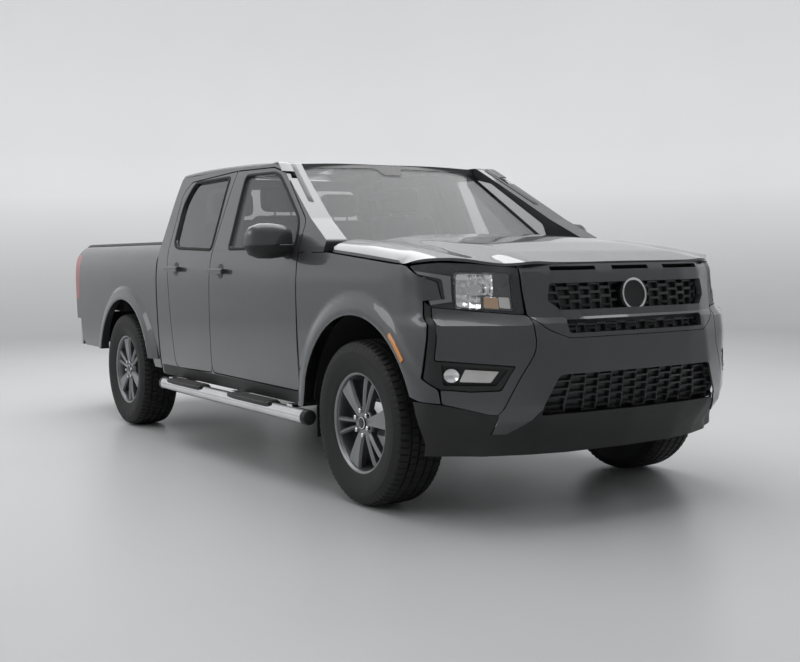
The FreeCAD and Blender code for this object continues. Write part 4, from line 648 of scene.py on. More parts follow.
TYRE_RADIUS = 0.385
TRACK_HALF = 0.785
TREAD_PITCHES = 72
PITCH_STEPS = 8
TREAD_HALF = 0.104
TREAD_STEP = 0.0065
GROOVES = (-0.066, -0.024, 0.024, 0.066)
GROOVE_HALF = 0.0046
GROOVE_MARGIN = 0.0012
GROOVE_DEPTH = 0.0085
SHOULDER_CUT_START = 0.074
SHOULDER_CUT_DEPTH = 0.0065
SIPE_DEPTH = 0.0045
CROWN_HALF = 0.06
CROWN_DROP = 0.0012
SHOULDER_START = 0.078
SHOULDER_WIDTH = 0.026
SHOULDER_DROP = 0.0052
SIDE_LUG_START = 0.350
SIDE_LUG_DEPTH = 0.0030
SIDEWALL = [(0.106, 0.2290), (0.1125, 0.2400), (0.1160, 0.2500), (0.1175, 0.2560), (0.1195, 0.2620),
            (0.1205, 0.2680), (0.1265, 0.2850), (0.1295, 0.3020), (0.1306, 0.3160), (0.1300, 0.3290),
            (0.1302, 0.3312), (0.1290, 0.3335), (0.1275, 0.3430), (0.1256, 0.3470), (0.1228, 0.3560),
            (0.1186, 0.3650), (0.1130, 0.3725)]
BEAD = [(0.100, 0.2200), (-0.100, 0.2200)]


def tread_stations():
    """Places across the tread, with both edges of each groove."""
    marks = set()
    for groove in GROOVES:
        for shift in (-GROOVE_HALF, -GROOVE_HALF * 0.7, GROOVE_HALF * 0.7, GROOVE_HALF):
            marks.add(round(groove + shift, 5))
    place = -TREAD_HALF
    while place <= TREAD_HALF + 0.0001:
        if all(abs(place - groove) > GROOVE_HALF + GROOVE_MARGIN for groove in GROOVES):
            marks.add(round(place, 5))
        place += TREAD_STEP
    return sorted(marks)


def tread_depth(across, step):
    """How deep the tread is cut at a place across it and a step round it."""
    if any(abs(across - groove) < GROOVE_HALF * 0.8 for groove in GROOVES):
        return GROOVE_DEPTH
    rib = sum(1 for groove in GROOVES if across > groove)
    phase = (step + 3 * rib) % PITCH_STEPS
    if rib in (0, len(GROOVES)):
        return SHOULDER_CUT_DEPTH if phase < 2 and abs(across) > SHOULDER_CUT_START else 0.0
    return SIPE_DEPTH if phase == 0 else 0.0


def tread_radius(across):
    """Radius of the uncut tread: a slight crown that falls away over the shoulders."""
    shoulder = max(0.0, (abs(across) - SHOULDER_START) / SHOULDER_WIDTH)
    return TYRE_RADIUS - CROWN_DROP * (across / CROWN_HALF) ** 2 - SHOULDER_DROP * shoulder ** 2


def tyre(name, centre, body, node, turn):
    around = TREAD_PITCHES * PITCH_STEPS
    tread = [(w, tread_radius(w)) for w in tread_stations()]
    section = [(-w, r) for w, r in SIDEWALL] + tread + SIDEWALL[::-1] + BEAD
    verts = []
    for k in range(around):
        angle = turn + 2.0 * math.pi * k / around
        c, s = math.cos(angle), math.sin(angle)
        side_cut = SIDE_LUG_DEPTH if k % PITCH_STEPS < PITCH_STEPS // 2 else 0.0
        for w, r in section:
            if (w, r) in tread:
                r -= tread_depth(w, k)
            elif r > SIDE_LUG_START:
                r -= side_cut
            verts.append(centre + Vector((r * c, w, r * s)))
    faces = grid_faces(around, len(section), rows_meet=True, columns_meet=True)
    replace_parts(shape(name, verts, faces, "tyre_rubber", body, None, 28.0), node)


WIDE_SPOKE = [(0.040, 0.021, 0.088), (0.070, 0.024, 0.093), (0.105, 0.029, 0.0965),
              (0.145, 0.036, 0.099), (0.185, 0.044, 0.0995), (0.213, 0.049, 0.0975)]
THIN_SPOKE = [(0.044, 0.0115, 0.0090, 0.089), (0.075, 0.0140, 0.0095, 0.0935),
              (0.110, 0.0185, 0.0102, 0.0965), (0.150, 0.0245, 0.0110, 0.0985),
              (0.190, 0.0305, 0.0120, 0.0985), (0.214, 0.0345, 0.0128, 0.0970)]
RIM_PROFILE = [(0.1010, 0.2300), (0.1060, 0.2345), (0.1085, 0.2335), (0.1085, 0.2300), (0.1050, 0.2240),
               (0.1000, 0.2205), (0.0900, 0.2170), (0.0700, 0.2135), (0.0400, 0.2080), (0.0000, 0.2060),
               (-0.0600, 0.2060), (-0.0900, 0.2120), (-0.1020, 0.2180), (-0.1070, 0.2260), (-0.1070, 0.2330),
               (-0.1020, 0.2335), (-0.0960, 0.2210), (-0.0500, 0.2130), (0.0500, 0.2150), (0.0900, 0.2240)]
HUB_PROFILE = [(0.042, 0.0315), (0.042, 0.070), (0.072, 0.074), (0.0815, 0.071), (0.0855, 0.066),
               (0.0870, 0.044), (0.0885, 0.0355), (0.0885, 0.0315)]
CAP_PROFILE = [(0.084, 0.0), (0.084, 0.0300), (0.0925, 0.0300), (0.0950, 0.0275), (0.0962, 0.0215),
               (0.0955, 0.0205), (0.0962, 0.0190), (0.0972, 0.0)]
CAP_RING = [(0.0930, 0.0290), (0.0956, 0.0285), (0.0964, 0.0265), (0.0964, 0.0245), (0.0945, 0.0240)]
NUT_CIRCLE = 0.0572
NUT_STEPS = ((0.080, 0.0112), (0.0985, 0.0112), (0.1010, 0.0092), (0.1020, 0.0055))


def both_halves(right, middle=()):
    """A spoke's section (across, out) from its right half."""
    return [(-t, w) for t, w in reversed(right)] + list(middle) + right


def broad_section(half, face):
    return both_halves([(0.30 * half, face), (half - 0.0055, face - 0.0005), (half, face - 0.014),
                        (0.80 * half, face - 0.044)], [(0.0, face - 0.0022)])


def slim_section(half, face):
    return both_halves([(0.25 * half, face), (half, face - 0.010), (0.8 * half, face - 0.040)])


def rim(name, centre, outward, body, node, turn):
    """Alloy wheel: barrel, three broad spokes and three pairs of slim ridged ones."""
    heap = Heap()

    def place(w, r, angle):
        return centre + Vector((r * math.cos(angle), outward * w, r * math.sin(angle)))

    def radial(angle, r, t, w):
        out = Vector((math.cos(angle), 0.0, math.sin(angle)))
        side = Vector((-math.sin(angle), 0.0, math.cos(angle)))
        return centre + out * r + side * t + Vector((0.0, outward * w, 0.0))

    heap.revolve(RIM_PROFILE, place, 96)
    heap.revolve(HUB_PROFILE, place, 48)
    for k in range(3):
        broad = turn + 2.0 * math.pi * k / 3.0
        heap.loft([[radial(broad, r, t, w) for t, w in broad_section(half, face)]
                   for r, half, face in WIDE_SPOKE])
        slim = broad + math.pi / 3.0
        for side in (-1.0, 1.0):
            heap.loft([[radial(slim, r, side * shift + t, w) for t, w in slim_section(half, face)]
                       for r, shift, half, face in THIN_SPOKE])
    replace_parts(heap.piece(name, "wheel_alloy", body, None, 24.0), node)
    nuts = Heap()
    for k in range(6):
        angle = turn + math.pi / 6.0 + k * math.pi / 3.0
        nuts.loft([[radial(angle, NUT_CIRCLE + radius * math.cos(j * math.pi / 3.0),
                           radius * math.sin(j * math.pi / 3.0), w) for j in range(6)]
                   for w, radius in NUT_STEPS])
    nuts.piece(name + "_nuts", "bright_metal", body, None, 20.0)
    turned(name + "_cap", CAP_PROFILE, place, 40, "wheel_alloy", body, WHEEL_CAP)
    turned(name + "_ring", CAP_RING, place, 40, "bright_metal", body, closed=True)


def make_wheels():
    for side_name, side in SIDES:
        for end, x, turn in (("front", FRONT_AXLE_X, 10.0), ("rear", REAR_AXLE_X, 98.0)):
            tail = "%s_%s" % (end, side_name)
            body = "wheel_" + tail
            centre = Vector((x, side * TRACK_HALF, TYRE_RADIUS))
            tyre("tread_" + tail, centre, body, "tyre_" + tail, math.radians(turn))
            rim("wheel_" + tail, centre, side, body, "rim_" + tail, math.radians(turn))


# Front end: nose and fenders lie on one surface, given by half plan outlines at rising heights

NOSE_ROWS = [
    (0.292, [(0.792, 0.0), (0.777, 0.308), (0.735, 0.480), (0.664, 0.645),
             (0.590, 0.735), (0.520, 0.809), (0.440, 0.850), (0.330, 0.862)]),
    (0.345, [(0.815, 0.0), (0.800, 0.308), (0.765, 0.470), (0.700, 0.600),
             (0.600, 0.726), (0.525, 0.805), (0.450, 0.855), (0.330, 0.868)]),
    (0.460, [(0.880, 0.0), (0.868, 0.300), (0.845, 0.480), (0.796, 0.600),
             (0.700, 0.710), (0.620, 0.795), (0.525, 0.888), (0.330, 0.912)]),
    (0.510, [(0.890, 0.0), (0.882, 0.300), (0.858, 0.503), (0.800, 0.605),
             (0.722, 0.710), (0.643, 0.797), (0.545, 0.890), (0.330, 0.915)]),
    (0.653, [(0.910, 0.0), (0.905, 0.300), (0.888, 0.436), (0.804, 0.606),
             (0.727, 0.710), (0.648, 0.798), (0.550, 0.892), (0.330, 0.917)]),
    (0.800, [(0.910, 0.0), (0.905, 0.300), (0.890, 0.410), (0.812, 0.600),
             (0.722, 0.710), (0.642, 0.798), (0.548, 0.890), (0.330, 0.912)]),
    (0.868, [(0.906, 0.0), (0.898, 0.300), (0.874, 0.408), (0.800, 0.602),
             (0.705, 0.710), (0.625, 0.798), (0.536, 0.888), (0.330, 0.909)]),
    (0.890, [(0.880, 0.0), (0.876, 0.300), (0.858, 0.408), (0.768, 0.600),
             (0.668, 0.710), (0.585, 0.800), (0.500, 0.885), (0.330, 0.905)]),
    (0.990, [(0.866, 0.0), (0.862, 0.300), (0.838, 0.430), (0.748, 0.600),
             (0.646, 0.710), (0.562, 0.800), (0.478, 0.884), (0.330, 0.902)]),
    (1.072, [(0.850, 0.0), (0.844, 0.300), (0.817, 0.443), (0.745, 0.600),
             (0.637, 0.710), (0.553, 0.800), (0.462, 0.888), (0.330, 0.900)]),
    (1.112, [(0.824, 0.0), (0.818, 0.300), (0.800, 0.420), (0.716, 0.600),
             (0.617, 0.710), (0.530, 0.800), (0.440, 0.888), (0.330, 0.897)]),
]
ROW_KNOTS = (0.0, 0.303, 0.440, 0.620, 0.760, 0.880, 1.010, 1.200)
CORNER_START = 3
SIDE_START = ROW_KNOTS[-1]
HALF_WIDTHS = [(0.380, 0.862), (0.480, 0.882), (0.620, 0.894), (0.780, 0.901), (0.940, 0.904), (1.040, 0.903),
               (1.120, 0.895), (1.200, 0.878)]
FLARE = [(0.480, 0.920), (0.500, 0.924), (0.516, 0.927), (0.567, 0.918), (0.612, 0.894), (0.660, 0.850)]
WHEEL_CENTRE_Z = 0.385
ARCH_RADIUS = 0.500


def between(table, value):
    """Value read off a table of (place, value), straight between its rows."""
    for (a, fa), (b, fb) in zip(table, table[1:]):
        if value <= b:
            return fa + (fb - fa) * max(0.0, (value - a) / (b - a))
    return table[-1][1]


def knot_span(knots, u):
    """Index of the span of knots that holds u, the span's length, and u's share of it."""
    i = max(k for k in range(len(knots) - 1) if knots[k] <= u)
    span = knots[i + 1] - knots[i]
    return i, span, (u - knots[i]) / span


def bend(a, b, start, end, t):
    """Smooth curve from a to b that leaves and arrives along the given directions."""
    return (a * (2 * t ** 3 - 3 * t ** 2 + 1) + start * (t ** 3 - 2 * t ** 2 + t)
            + b * (3 * t ** 2 - 2 * t ** 3) + end * (t ** 3 - t ** 2))


def row_point(points, u):
    """Place (forward, y) on one height row at a developed distance from the centre."""
    if u >= SIDE_START:
        return Vector((points[-1][0] - (u - SIDE_START), points[-1][1]))
    i, span, t = knot_span(ROW_KNOTS, u)
    a, b = Vector(points[i]), Vector(points[i + 1])
    if i < CORNER_START:
        return a.lerp(b, t)
    start = (b - Vector(points[i - 1])) / (ROW_KNOTS[i + 1] - ROW_KNOTS[i - 1])
    end = Vector((-1.0, 0.0))
    if i + 2 < len(points):
        end = (Vector(points[i + 2]) - a) / (ROW_KNOTS[i + 2] - ROW_KNOTS[i])
    return bend(a, b, start * span, end * span, t)


def front_base(u, z):
    """Place (forward, y) of the front end's skin without the wheel flare."""
    k = max([i for i in range(len(NOSE_ROWS) - 1) if NOSE_ROWS[i][0] <= z] or [0])
    (z0, low), (z1, high) = NOSE_ROWS[k], NOSE_ROWS[k + 1]
    place = row_point(low, u).lerp(row_point(high, u), (z - z0) / (z1 - z0))
    if u > SIDE_START:
        share = min(1.0, (u - SIDE_START) / 0.12)
        place.y = place.y * (1.0 - share) + between(HALF_WIDTHS, z) * share
    return place


def front_skin(u, z):
    """Point of the front end's skin; a negative distance is on the right-hand side."""
    place = front_base(abs(u), z)
    radius = math.hypot(place.x, z - WHEEL_CENTRE_Z)
    fade = min(1.0, max(0.0, (0.60 - place.x) / 0.24))
    y = place.y + max(0.0, between(FLARE, radius) - place.y) * fade if radius < 0.66 else place.y
    return Vector((FRONT_AXLE_X + place.x, math.copysign(y, u), z))


def faced(skin, p, reach, outward):
    """Point of a skin at a flat point, and the normal there on the outward side."""
    du = skin(p.x + reach, p.y) - skin(p.x - reach, p.y)
    dv = skin(p.x, p.y + reach) - skin(p.x, p.y - reach)
    normal = unit(du.cross(dv))
    return skin(p.x, p.y), -normal if normal.dot(Vector(outward)) < 0.0 else normal


def front_place(p):
    """Point and outward normal of the front end's skin."""
    return faced(front_skin, p, 0.002, (1.0, math.copysign(0.6, p.x), 0.0))


def halved(low, high, test):
    for _ in range(30):
        middle = (low + high) / 2.0
        low, high = (middle, high) if test(middle) else (low, middle)
    return (low + high) / 2.0


def at_y(y, z, radius=0.0):
    """Outline corner at a distance from the centre plane, seen from ahead."""
    if y <= 0.0:
        return 0.0, z, radius
    return halved(0.0, SIDE_START, lambda u: front_base(u, z).y < y), z, radius


def at_x(x, z, radius=0.0):
    """Outline corner at a distance forward of the front axle, seen from the side."""
    return halved(0.0, 2.4, lambda u: front_base(u, z).x > x), z, radius


def mirror_outline(points):
    return [Vector((-p.x, p.y)) for p in reversed(points)]


def whole(half):
    """Outline across the centre plane from its left half, which starts and ends on it."""
    right = [(-u, z, r) for u, z, r in reversed(half) if u > 0.0]
    return [c for c in half if c[0] > 0.0] + right


def sheet(name, outline, place, thick, slot, body, holes=(), lift=0.0, step=0.024, material=None, sharp=35.0):
    """A closed sheet on a surface: place maps a flat point to a surface point and its normal."""
    loops = [dense(outline, step)] + [dense(hole, step) for hole in holes]
    border = [p for loop in loops for p in loop]
    tree = KDTree(len(border))
    for i, p in enumerate(border):
        tree.insert((p.x, p.y, 0.0), i)
    tree.balance()
    points = list(border)
    us = [p.x for p in loops[0]]
    vs = [p.y for p in loops[0]]
    u = min(us) + step / 2.0
    while u < max(us):
        v = min(vs) + step / 2.0
        while v < max(vs):
            p = Vector((u, v))
            if tree.find((u, v, 0.0))[2] > step * 0.45 and inside(p, loops[0]):
                if not any(inside(p, loop) for loop in loops[1:]):
                    points.append(p)
            v += step
        u += step
    edges = []
    start = 0
    for loop in loops:
        edges.extend((start + i, start + (i + 1) % len(loop)) for i in range(len(loop)))
        start += len(loop)
    flat, _, faces, *_ = delaunay_2d_cdt(points, edges, [], 0, 1e-6)
    kept = []
    for face in faces:
        middle = sum((flat[i] for i in face), Vector((0.0, 0.0))) / len(face)
        if inside(middle, loops[0]) and not any(inside(middle, loop) for loop in loops[1:]):
            kept.append(tuple(face))
    placed = {}
    for face in kept:
        for i in face:
            if i not in placed:
                placed[i] = place(flat[i])
    kept = [face for face in kept if all(placed[i] is not None for i in face)]
    order = {i: k for k, i in enumerate(sorted({i for face in kept for i in face}))}
    total = len(order)
    verts = [None] * (2 * total)
    for i, k in order.items():
        point, normal = placed[i]
        verts[k] = point + normal * lift
        verts[total + k] = point + normal * (lift - thick)
    result = [tuple(order[i] for i in face) for face in kept]
    result += [tuple(total + i for i in reversed(face)) for face in result]
    sides = {}
    for face in result[:len(kept)]:
        for a, b in zip(face, face[1:] + face[:1]):
            sides.setdefault((min(a, b), max(a, b)), []).append((a, b))
    for pairs in sides.values():
        if len(pairs) == 1:
            a, b = pairs[0]
            result.append((b, a, total + a, total + b))
    return shape(name, verts, result, slot, body, material, sharp)


# Outlines on the nose, as distance from the centre plane, height and corner radius

UPPER_OPENING = [(0.0, 1.030, 0.0), (0.443, 1.030, 0.008), (0.458, 0.960, 0.010), (0.410, 0.918, 0.008),
                 (0.0, 0.918, 0.0)]
LOWER_SLOT = [(0.0, 0.878, 0.0), (0.392, 0.878, 0.008), (0.386, 0.822, 0.010), (0.0, 0.822, 0.0)]
TOP_SLOTS = [(-0.429, -0.198), (-0.106, 0.106), (0.198, 0.429)]
TOP_SLOT_HEIGHTS = (1.083, 1.100)
LOWER_OPENING = [(0.0, 0.650, 0.0), (0.434, 0.650, 0.020), (0.503, 0.508, 0.010), (0.503, 0.480, 0.0),
                 (0.0, 0.480, 0.0)]
GRILLE = [(0.0, 1.109, 0.0), (0.546, 1.109, 0.0), (0.538, 0.899, 0.010), (0.472, 0.840, 0.020),
          (0.398, 0.804, 0.020), (0.0, 0.798, 0.0)]
HOUSING = [(0.553, 1.101, 0.0), (0.620, 1.104, 0.0), (0.700, 1.116, 0.0), (0.800, 1.122, 0.0),
           (0.850, 1.117, 0.0), (0.8885, 1.1085, 0.0), (0.876, 1.071, 0.004), (0.814, 1.043, 0.012),
           (0.805, 0.962, 0.004), (0.850, 0.961, 0.0), (0.846, 0.936, 0.0), (0.549, 0.902, 0.012)]
LENS = [(0.592, 1.078, 0.014), (0.764, 1.086, 0.018), (0.772, 0.930, 0.014), (0.588, 0.916, 0.010)]
BOWL = [(0.650, 1.072, 0.006), (0.758, 1.079, 0.014), (0.766, 0.937, 0.012), (0.692, 0.929, 0.004),
        (0.688, 0.986, 0.006), (0.650, 0.984, 0.006)]
TURN_LAMP = [(0.598, 0.975, 0.005), (0.679, 0.980, 0.005), (0.683, 0.932, 0.005), (0.595, 0.924, 0.005)]
TRIM = [(0.866, 0.960, 0.0), (0.895, 0.636, 0.010), (0.853, 0.592, 0.020), (0.755, 0.584, 0.0),
        (0.657, 0.589, 0.012), (0.606, 0.688, 0.014), (0.868, 0.712, 0.008), (0.848, 0.911, 0.0),
        (0.847, 0.937, 0.0)]
FOG_ROOM = [(0.846, 0.692, 0.008), (0.632, 0.676, 0.008), (0.672, 0.608, 0.008), (0.840, 0.608, 0.012)]
LATTICES = (
    ("grille_upper", UPPER_OPENING, 0.058, 0.038, 0.011),
    ("grille_lower", LOWER_SLOT, 0.058, 0.038, 0.011),
    ("grille_intake", LOWER_OPENING, 0.072, 0.034, 0.009),
)
BACKING = [(0.0, 1.106), (0.86, 1.104), (0.86, 0.60), (0.80, 0.44), (0.0, 0.44)]
BUMPER_CENTRE = [(0.0, 0.795), (0.396, 0.801, 0.02), (0.474, 0.836, 0.02), (0.528, 0.886),
                 (0.528, 0.743, 0.03), (0.604, 0.604, 0.02), (0.643, 0.512, 0.02), (0.660, 0.486),
                 (0.656, 0.398), (0.613, 0.398, 0.01), (0.506, 0.508), (0.437, 0.652, 0.02), (0.0, 0.652)]
BUMPER_CORNER = [(0.5325, 0.890), (0.548, 0.8985), (0.843, 0.932), (0.845, 0.911), (0.865, 0.715, 0.008),
                 (0.6035, 0.691, 0.014), (0.655, 0.586, 0.012), (0.755, 0.581), (0.848, 0.589, 0.012),
                 (0.842, 0.531, 0.01), (0.690, 0.488), (0.663, 0.486), (0.6475, 0.512, 0.02),
                 (0.6085, 0.604, 0.02), (0.5325, 0.743, 0.03)]
VALANCE_FOOT = [(0.0, 0.296), (0.300, 0.296), (0.600, 0.296, 0.02)]
VALANCE_TOP = [(0.896, 0.534), (0.845, 0.526), (0.690, 0.483, 0.01), (0.661, 0.482), (0.660, 0.393),
               (0.611, 0.393, 0.01), (0.503, 0.503, 0.01), (0.500, 0.478), (0.0, 0.478)]
VALANCE_ARCH_RADIUS = 0.506
FENDER_FRONT = [(0.897, 0.540), (0.8475, 0.533), (0.8555, 0.590, 0.012), (0.898, 0.636, 0.010),
                (0.869, 0.962), (0.853, 0.9645), (0.8085, 0.9655, 0.004), (0.8175, 1.040, 0.012),
                (0.879, 1.069, 0.004)]
LAMP_BAND = [(0.882, 1.088), (0.774, 1.064), (0.776, 0.957), (0.846, 0.944), (0.849, 0.962),
             (0.796, 0.968, 0.006), (0.801, 1.052, 0.014), (0.874, 1.074)]
FOG_LENS = [(0.772, 0.676, 0.006), (0.664, 0.668, 0.006), (0.690, 0.621, 0.008), (0.790, 0.624, 0.008)]
UPRIGHT_HALF = 0.0035
UPRIGHT_FRONT = -0.031
UPRIGHT_BACK = -0.046
BAR_FRONT = -0.0265
BAR_BACK = -0.045
BAR_SLOPE = 0.005
BAR_INSET = 0.001


def plan_of(corners):
    return [at_y(*corner) for corner in corners]


def half_and_half(corners):
    return rounded(whole(plan_of(corners)))


def front_outline(corners, steps=5):
    return rounded(plan_of(corners), steps)


def arch_corners(radius, angles):
    """Outline corners round the front wheel."""
    return [at_x(radius * math.cos(t), WHEEL_CENTRE_Z + radius * math.sin(t)) for t in angles]


def front_sheet(name, outline, thick, slot, **options):
    return sheet(name, outline, front_place, thick, slot, "truck", **options)


def both_sides(name, outline, thick, slot, holes=(), **options):
    """The same sheet on the left and, mirrored, on the right; returns the left one."""
    left = front_sheet(name + "_left", outline, thick, slot, holes=holes, **options)
    front_sheet(name + "_right", mirror_outline(outline), thick, slot,
                holes=[mirror_outline(hole) for hole in holes], **options)
    return left


def lattice(name, corners, pitch, rise, bar):
    """Black grille: uprights with short bars between them, each column half a step above the last."""
    heights = [c[1] for c in corners]
    low, high = min(heights) - 0.006, max(heights) + 0.006
    width = max(at_y(c[0], c[1])[0] for c in corners)
    heap = Heap()
    columns = int(width / pitch) + 1

    def add_bar(u0, u1, z0, z1, front, back, slope):
        verts = []
        for lift, foot in ((front, front - slope), (back, back)):
            for u, z, level in ((u0, z0, foot), (u1, z0, foot), (u1, z1, lift), (u0, z1, lift)):
                point, normal = front_place(Vector((u, z)))
                verts.append(point + normal * level)
        heap.add(verts, [(0, 1, 2, 3), (7, 6, 5, 4), (0, 4, 5, 1), (1, 5, 6, 2), (2, 6, 7, 3), (3, 7, 4, 0)])

    for i in range(-columns, columns + 1):
        u = i * pitch
        if abs(u) > width + 0.02:
            continue
        z = low
        while z < high - 0.001:
            top = min(z + rise, high)
            add_bar(u - UPRIGHT_HALF, u + UPRIGHT_HALF, z, top, UPRIGHT_FRONT, UPRIGHT_BACK, 0.0)
            z = top
        z = low + (rise / 2.0 if i % 2 else 0.0)
        while z < high:
            if abs(u + pitch / 2.0) < width + 0.02:
                add_bar(u + BAR_INSET, u + pitch - BAR_INSET, z, min(z + bar, high),
                        BAR_FRONT, BAR_BACK, BAR_SLOPE)
            z += rise
    return heap.piece(name, "black_plastic", "truck", GRILLE_BARS, 20.0)


def make_grille():
    openings = [half_and_half(corners) for corners in (UPPER_OPENING, LOWER_SLOT)]
    low, high = TOP_SLOT_HEIGHTS
    for y0, y1 in TOP_SLOTS:
        corners = [(math.copysign(at_y(abs(y), z)[0], y), z, 0.003)
                   for y, z in ((y0, low), (y1, low), (y1, high), (y0, high))]
        openings.append(rounded(corners, 3))
    surround = front_sheet("grille_frame", half_and_half(GRILLE), 0.026, "body_paint",
                           holes=openings, sharp=14.0)
    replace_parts(surround, "grille_surround")
    grilles = [lattice(*row) for row in LATTICES]
    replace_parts(grilles[-1], "grille_mesh")
    front_sheet("nose_backing", half_and_half(BACKING), 0.003, "black_plastic", lift=-0.047, step=0.04,
                material=GRILLE_BLACK)


def make_bumper():
    centre = front_sheet("bumper_centre", half_and_half(BUMPER_CENTRE), 0.007, "body_paint", sharp=25.0)
    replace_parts(centre, "front_bumper")
    both_sides("bumper_corner", front_outline(BUMPER_CORNER), 0.007, "body_paint", sharp=25.0)
    arch = arch_corners(VALANCE_ARCH_RADIUS, (-0.17, -0.08, 0.0, 0.1, 0.2, 0.3))
    low = plan_of(VALANCE_FOOT) + arch + plan_of(VALANCE_TOP)
    valance = front_sheet("valance", rounded(whole(low)), 0.009, "black_plastic", lift=-0.006)
    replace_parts(valance, "front_valance")


# The gap between hood and fender, and the fender's other edges

HOOD_EDGE_Z = 1.166
FENDER_EDGE_Z = 1.159
EDGE_SLOPE = 0.088
EDGE_START = -0.154
FENDER_REAR = -0.588
FENDER_TOP_Z = 1.172
FENDER_LOW_Z = 0.412
FENDER_ARCH_LOW_Z = 0.5395
SIDE_MARKER = ((0.322, 0.812), (0.360, 0.778), (0.396, 0.738), (0.424, 0.702))


def edge_height(start_z, forward):
    return start_z - EDGE_SLOPE * (forward - EDGE_START)


def make_fenders():
    top = [at_x(f, edge_height(FENDER_EDGE_Z, f)) for f in (0.424, 0.30, 0.10, -0.10, -0.30)]
    back = [at_x(-0.33, FENDER_TOP_Z), at_x(FENDER_REAR, FENDER_TOP_Z), at_x(FENDER_REAR, FENDER_LOW_Z),
            at_x(-0.4985, FENDER_LOW_Z)]
    arch = arch_corners(ARCH_RADIUS, [math.pi * (1.0 - k / 36.0) for k in range(1, 33)])
    arch = [c for c in arch if c[1] > FENDER_ARCH_LOW_Z]
    outline = rounded(top + back + arch + plan_of(FENDER_FRONT))
    left = both_sides("fender", outline, 0.008, "body_paint", sharp=30.0, step=0.02)
    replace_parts(left, "front_fenders")
    line = [at_x(f, z) for f, z in SIDE_MARKER]
    for tail, side in reversed(SIDES):
        spots = dense([Vector((side * u, z)) for u, z, r in line], 0.02, closed=False)
        strip("side_marker_" + tail, [front_place(p) for p in spots], 0.021, 0.006, "lamp_red", "truck",
              False, AMBER_LENS)


TURN_LAMPS = (("outer", 0.637, 0.682, TURN_AMBER), ("inner", 0.597, 0.635, PALE_LENS))
BOWL_PILLOWS = (6, 5)
PILLOW_PARTS = 4
BOWL_HEIGHTS = (0.926, 1.081)
BOWL_SIDES = (0.642, 0.768)
BULB_Z = 1.008
SHIELD_PROFILE = [(-0.040, 0.0), (-0.040, 0.024), (-0.022, 0.026), (-0.017, 0.0245), (-0.017, 0.0205),
                  (-0.022, 0.0185), (-0.024, 0.0)]
FOG_PROFILE = [(-0.027, 0.0), (-0.027, 0.029), (-0.012, 0.031), (-0.009, 0.029), (-0.011, 0.026),
               (-0.020, 0.015), (-0.023, 0.0)]
FOG_SPOT = (0.814, 0.650)


def make_headlamps():
    opening = front_outline(LENS)
    housing = both_sides("lamp_housing", front_outline(HOUSING), 0.010, "black_plastic", [opening],
                         lift=-0.003, material=LAMP_HOUSING, step=0.02)
    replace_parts(housing, "headlamps")
    both_sides("lamp_cover", widened(opening, -0.0015), 0.0025, "lamp_clear", lift=-0.0015, step=0.016,
               material=LAMP_COVER)
    both_sides("lamp_bezel", widened(opening, -0.003), 0.003, "black_plastic",
               [front_outline(BOWL), front_outline(TURN_LAMP)], lift=-0.009, step=0.016,
               material=LAMP_HOUSING)
    both_sides("lamp_band", front_outline(LAMP_BAND), 0.004, "lamp_clear", lift=0.001,
               material=LIGHT_GUIDE, step=0.014)
    for tail, side in reversed(SIDES):
        lamp_bowl("lamp_bowl_" + tail, side)
        for part, y0, y1, material in TURN_LAMPS:
            outline = front_outline([(y0, 0.9735, 0.004), (y1, 0.977, 0.004), (y1, 0.932, 0.004),
                                     (y0, 0.927, 0.004)], 3)
            outline = outline if side > 0.0 else mirror_outline(outline)
            front_sheet("turn_lamp_%s_%s" % (part, tail), outline, 0.010, "lamp_clear", lift=-0.010,
                        step=0.01, material=material)


def round_lamp(name, profile, u, z, stretch, around):
    """Bright round form that looks out of the nose's skin."""
    point, normal = front_place(Vector((u, z)))
    across = unit(normal.cross(Vector((0.0, 0.0, 1.0))))
    up = unit(across.cross(normal))
    turned(name, profile, about(point, normal, across, up, stretch), around, "lamp_clear", "truck", CHROME)


def lamp_bowl(name, side):
    """Faceted chrome reflector that is deepest round its bulb, with the bulb's shield."""
    columns, rows = BOWL_PILLOWS
    low_u, high_u = [at_y(y, 1.0)[0] for y in BOWL_SIDES]
    low_z, high_z = BOWL_HEIGHTS
    front = []
    for i in range(columns * PILLOW_PARTS + 1):
        for k in range(rows * PILLOW_PARTS + 1):
            s, t = i / (columns * PILLOW_PARTS), k / (rows * PILLOW_PARTS)
            hollow = (1.0 - abs(2.0 * s - 1.0) ** 2.2) * (1.0 - abs(2.0 * t - 1.0) ** 2.2)
            pillow = math.sin(math.pi * (s * columns % 1.0)) * math.sin(math.pi * (t * rows % 1.0))
            spot = Vector((side * (low_u + (high_u - low_u) * s), low_z + (high_z - low_z) * t))
            point, normal = front_place(spot)
            front.append(point - normal * (0.0125 + 0.030 * hollow - 0.0045 * pillow))
    faces = grid_faces(columns * PILLOW_PARTS + 1, rows * PILLOW_PARTS + 1)
    heap = Heap()
    heap.add(front, faces)
    heap.add([p + Vector((-0.003, 0.0, 0.0)) for p in front], [tuple(reversed(face)) for face in faces])
    heap.piece(name, "lamp_clear", "truck", CHROME, 16.0)
    round_lamp(name + "_shield", SHIELD_PROFILE, side * (low_u + high_u) / 2.0, BULB_Z, 1.25, 28)


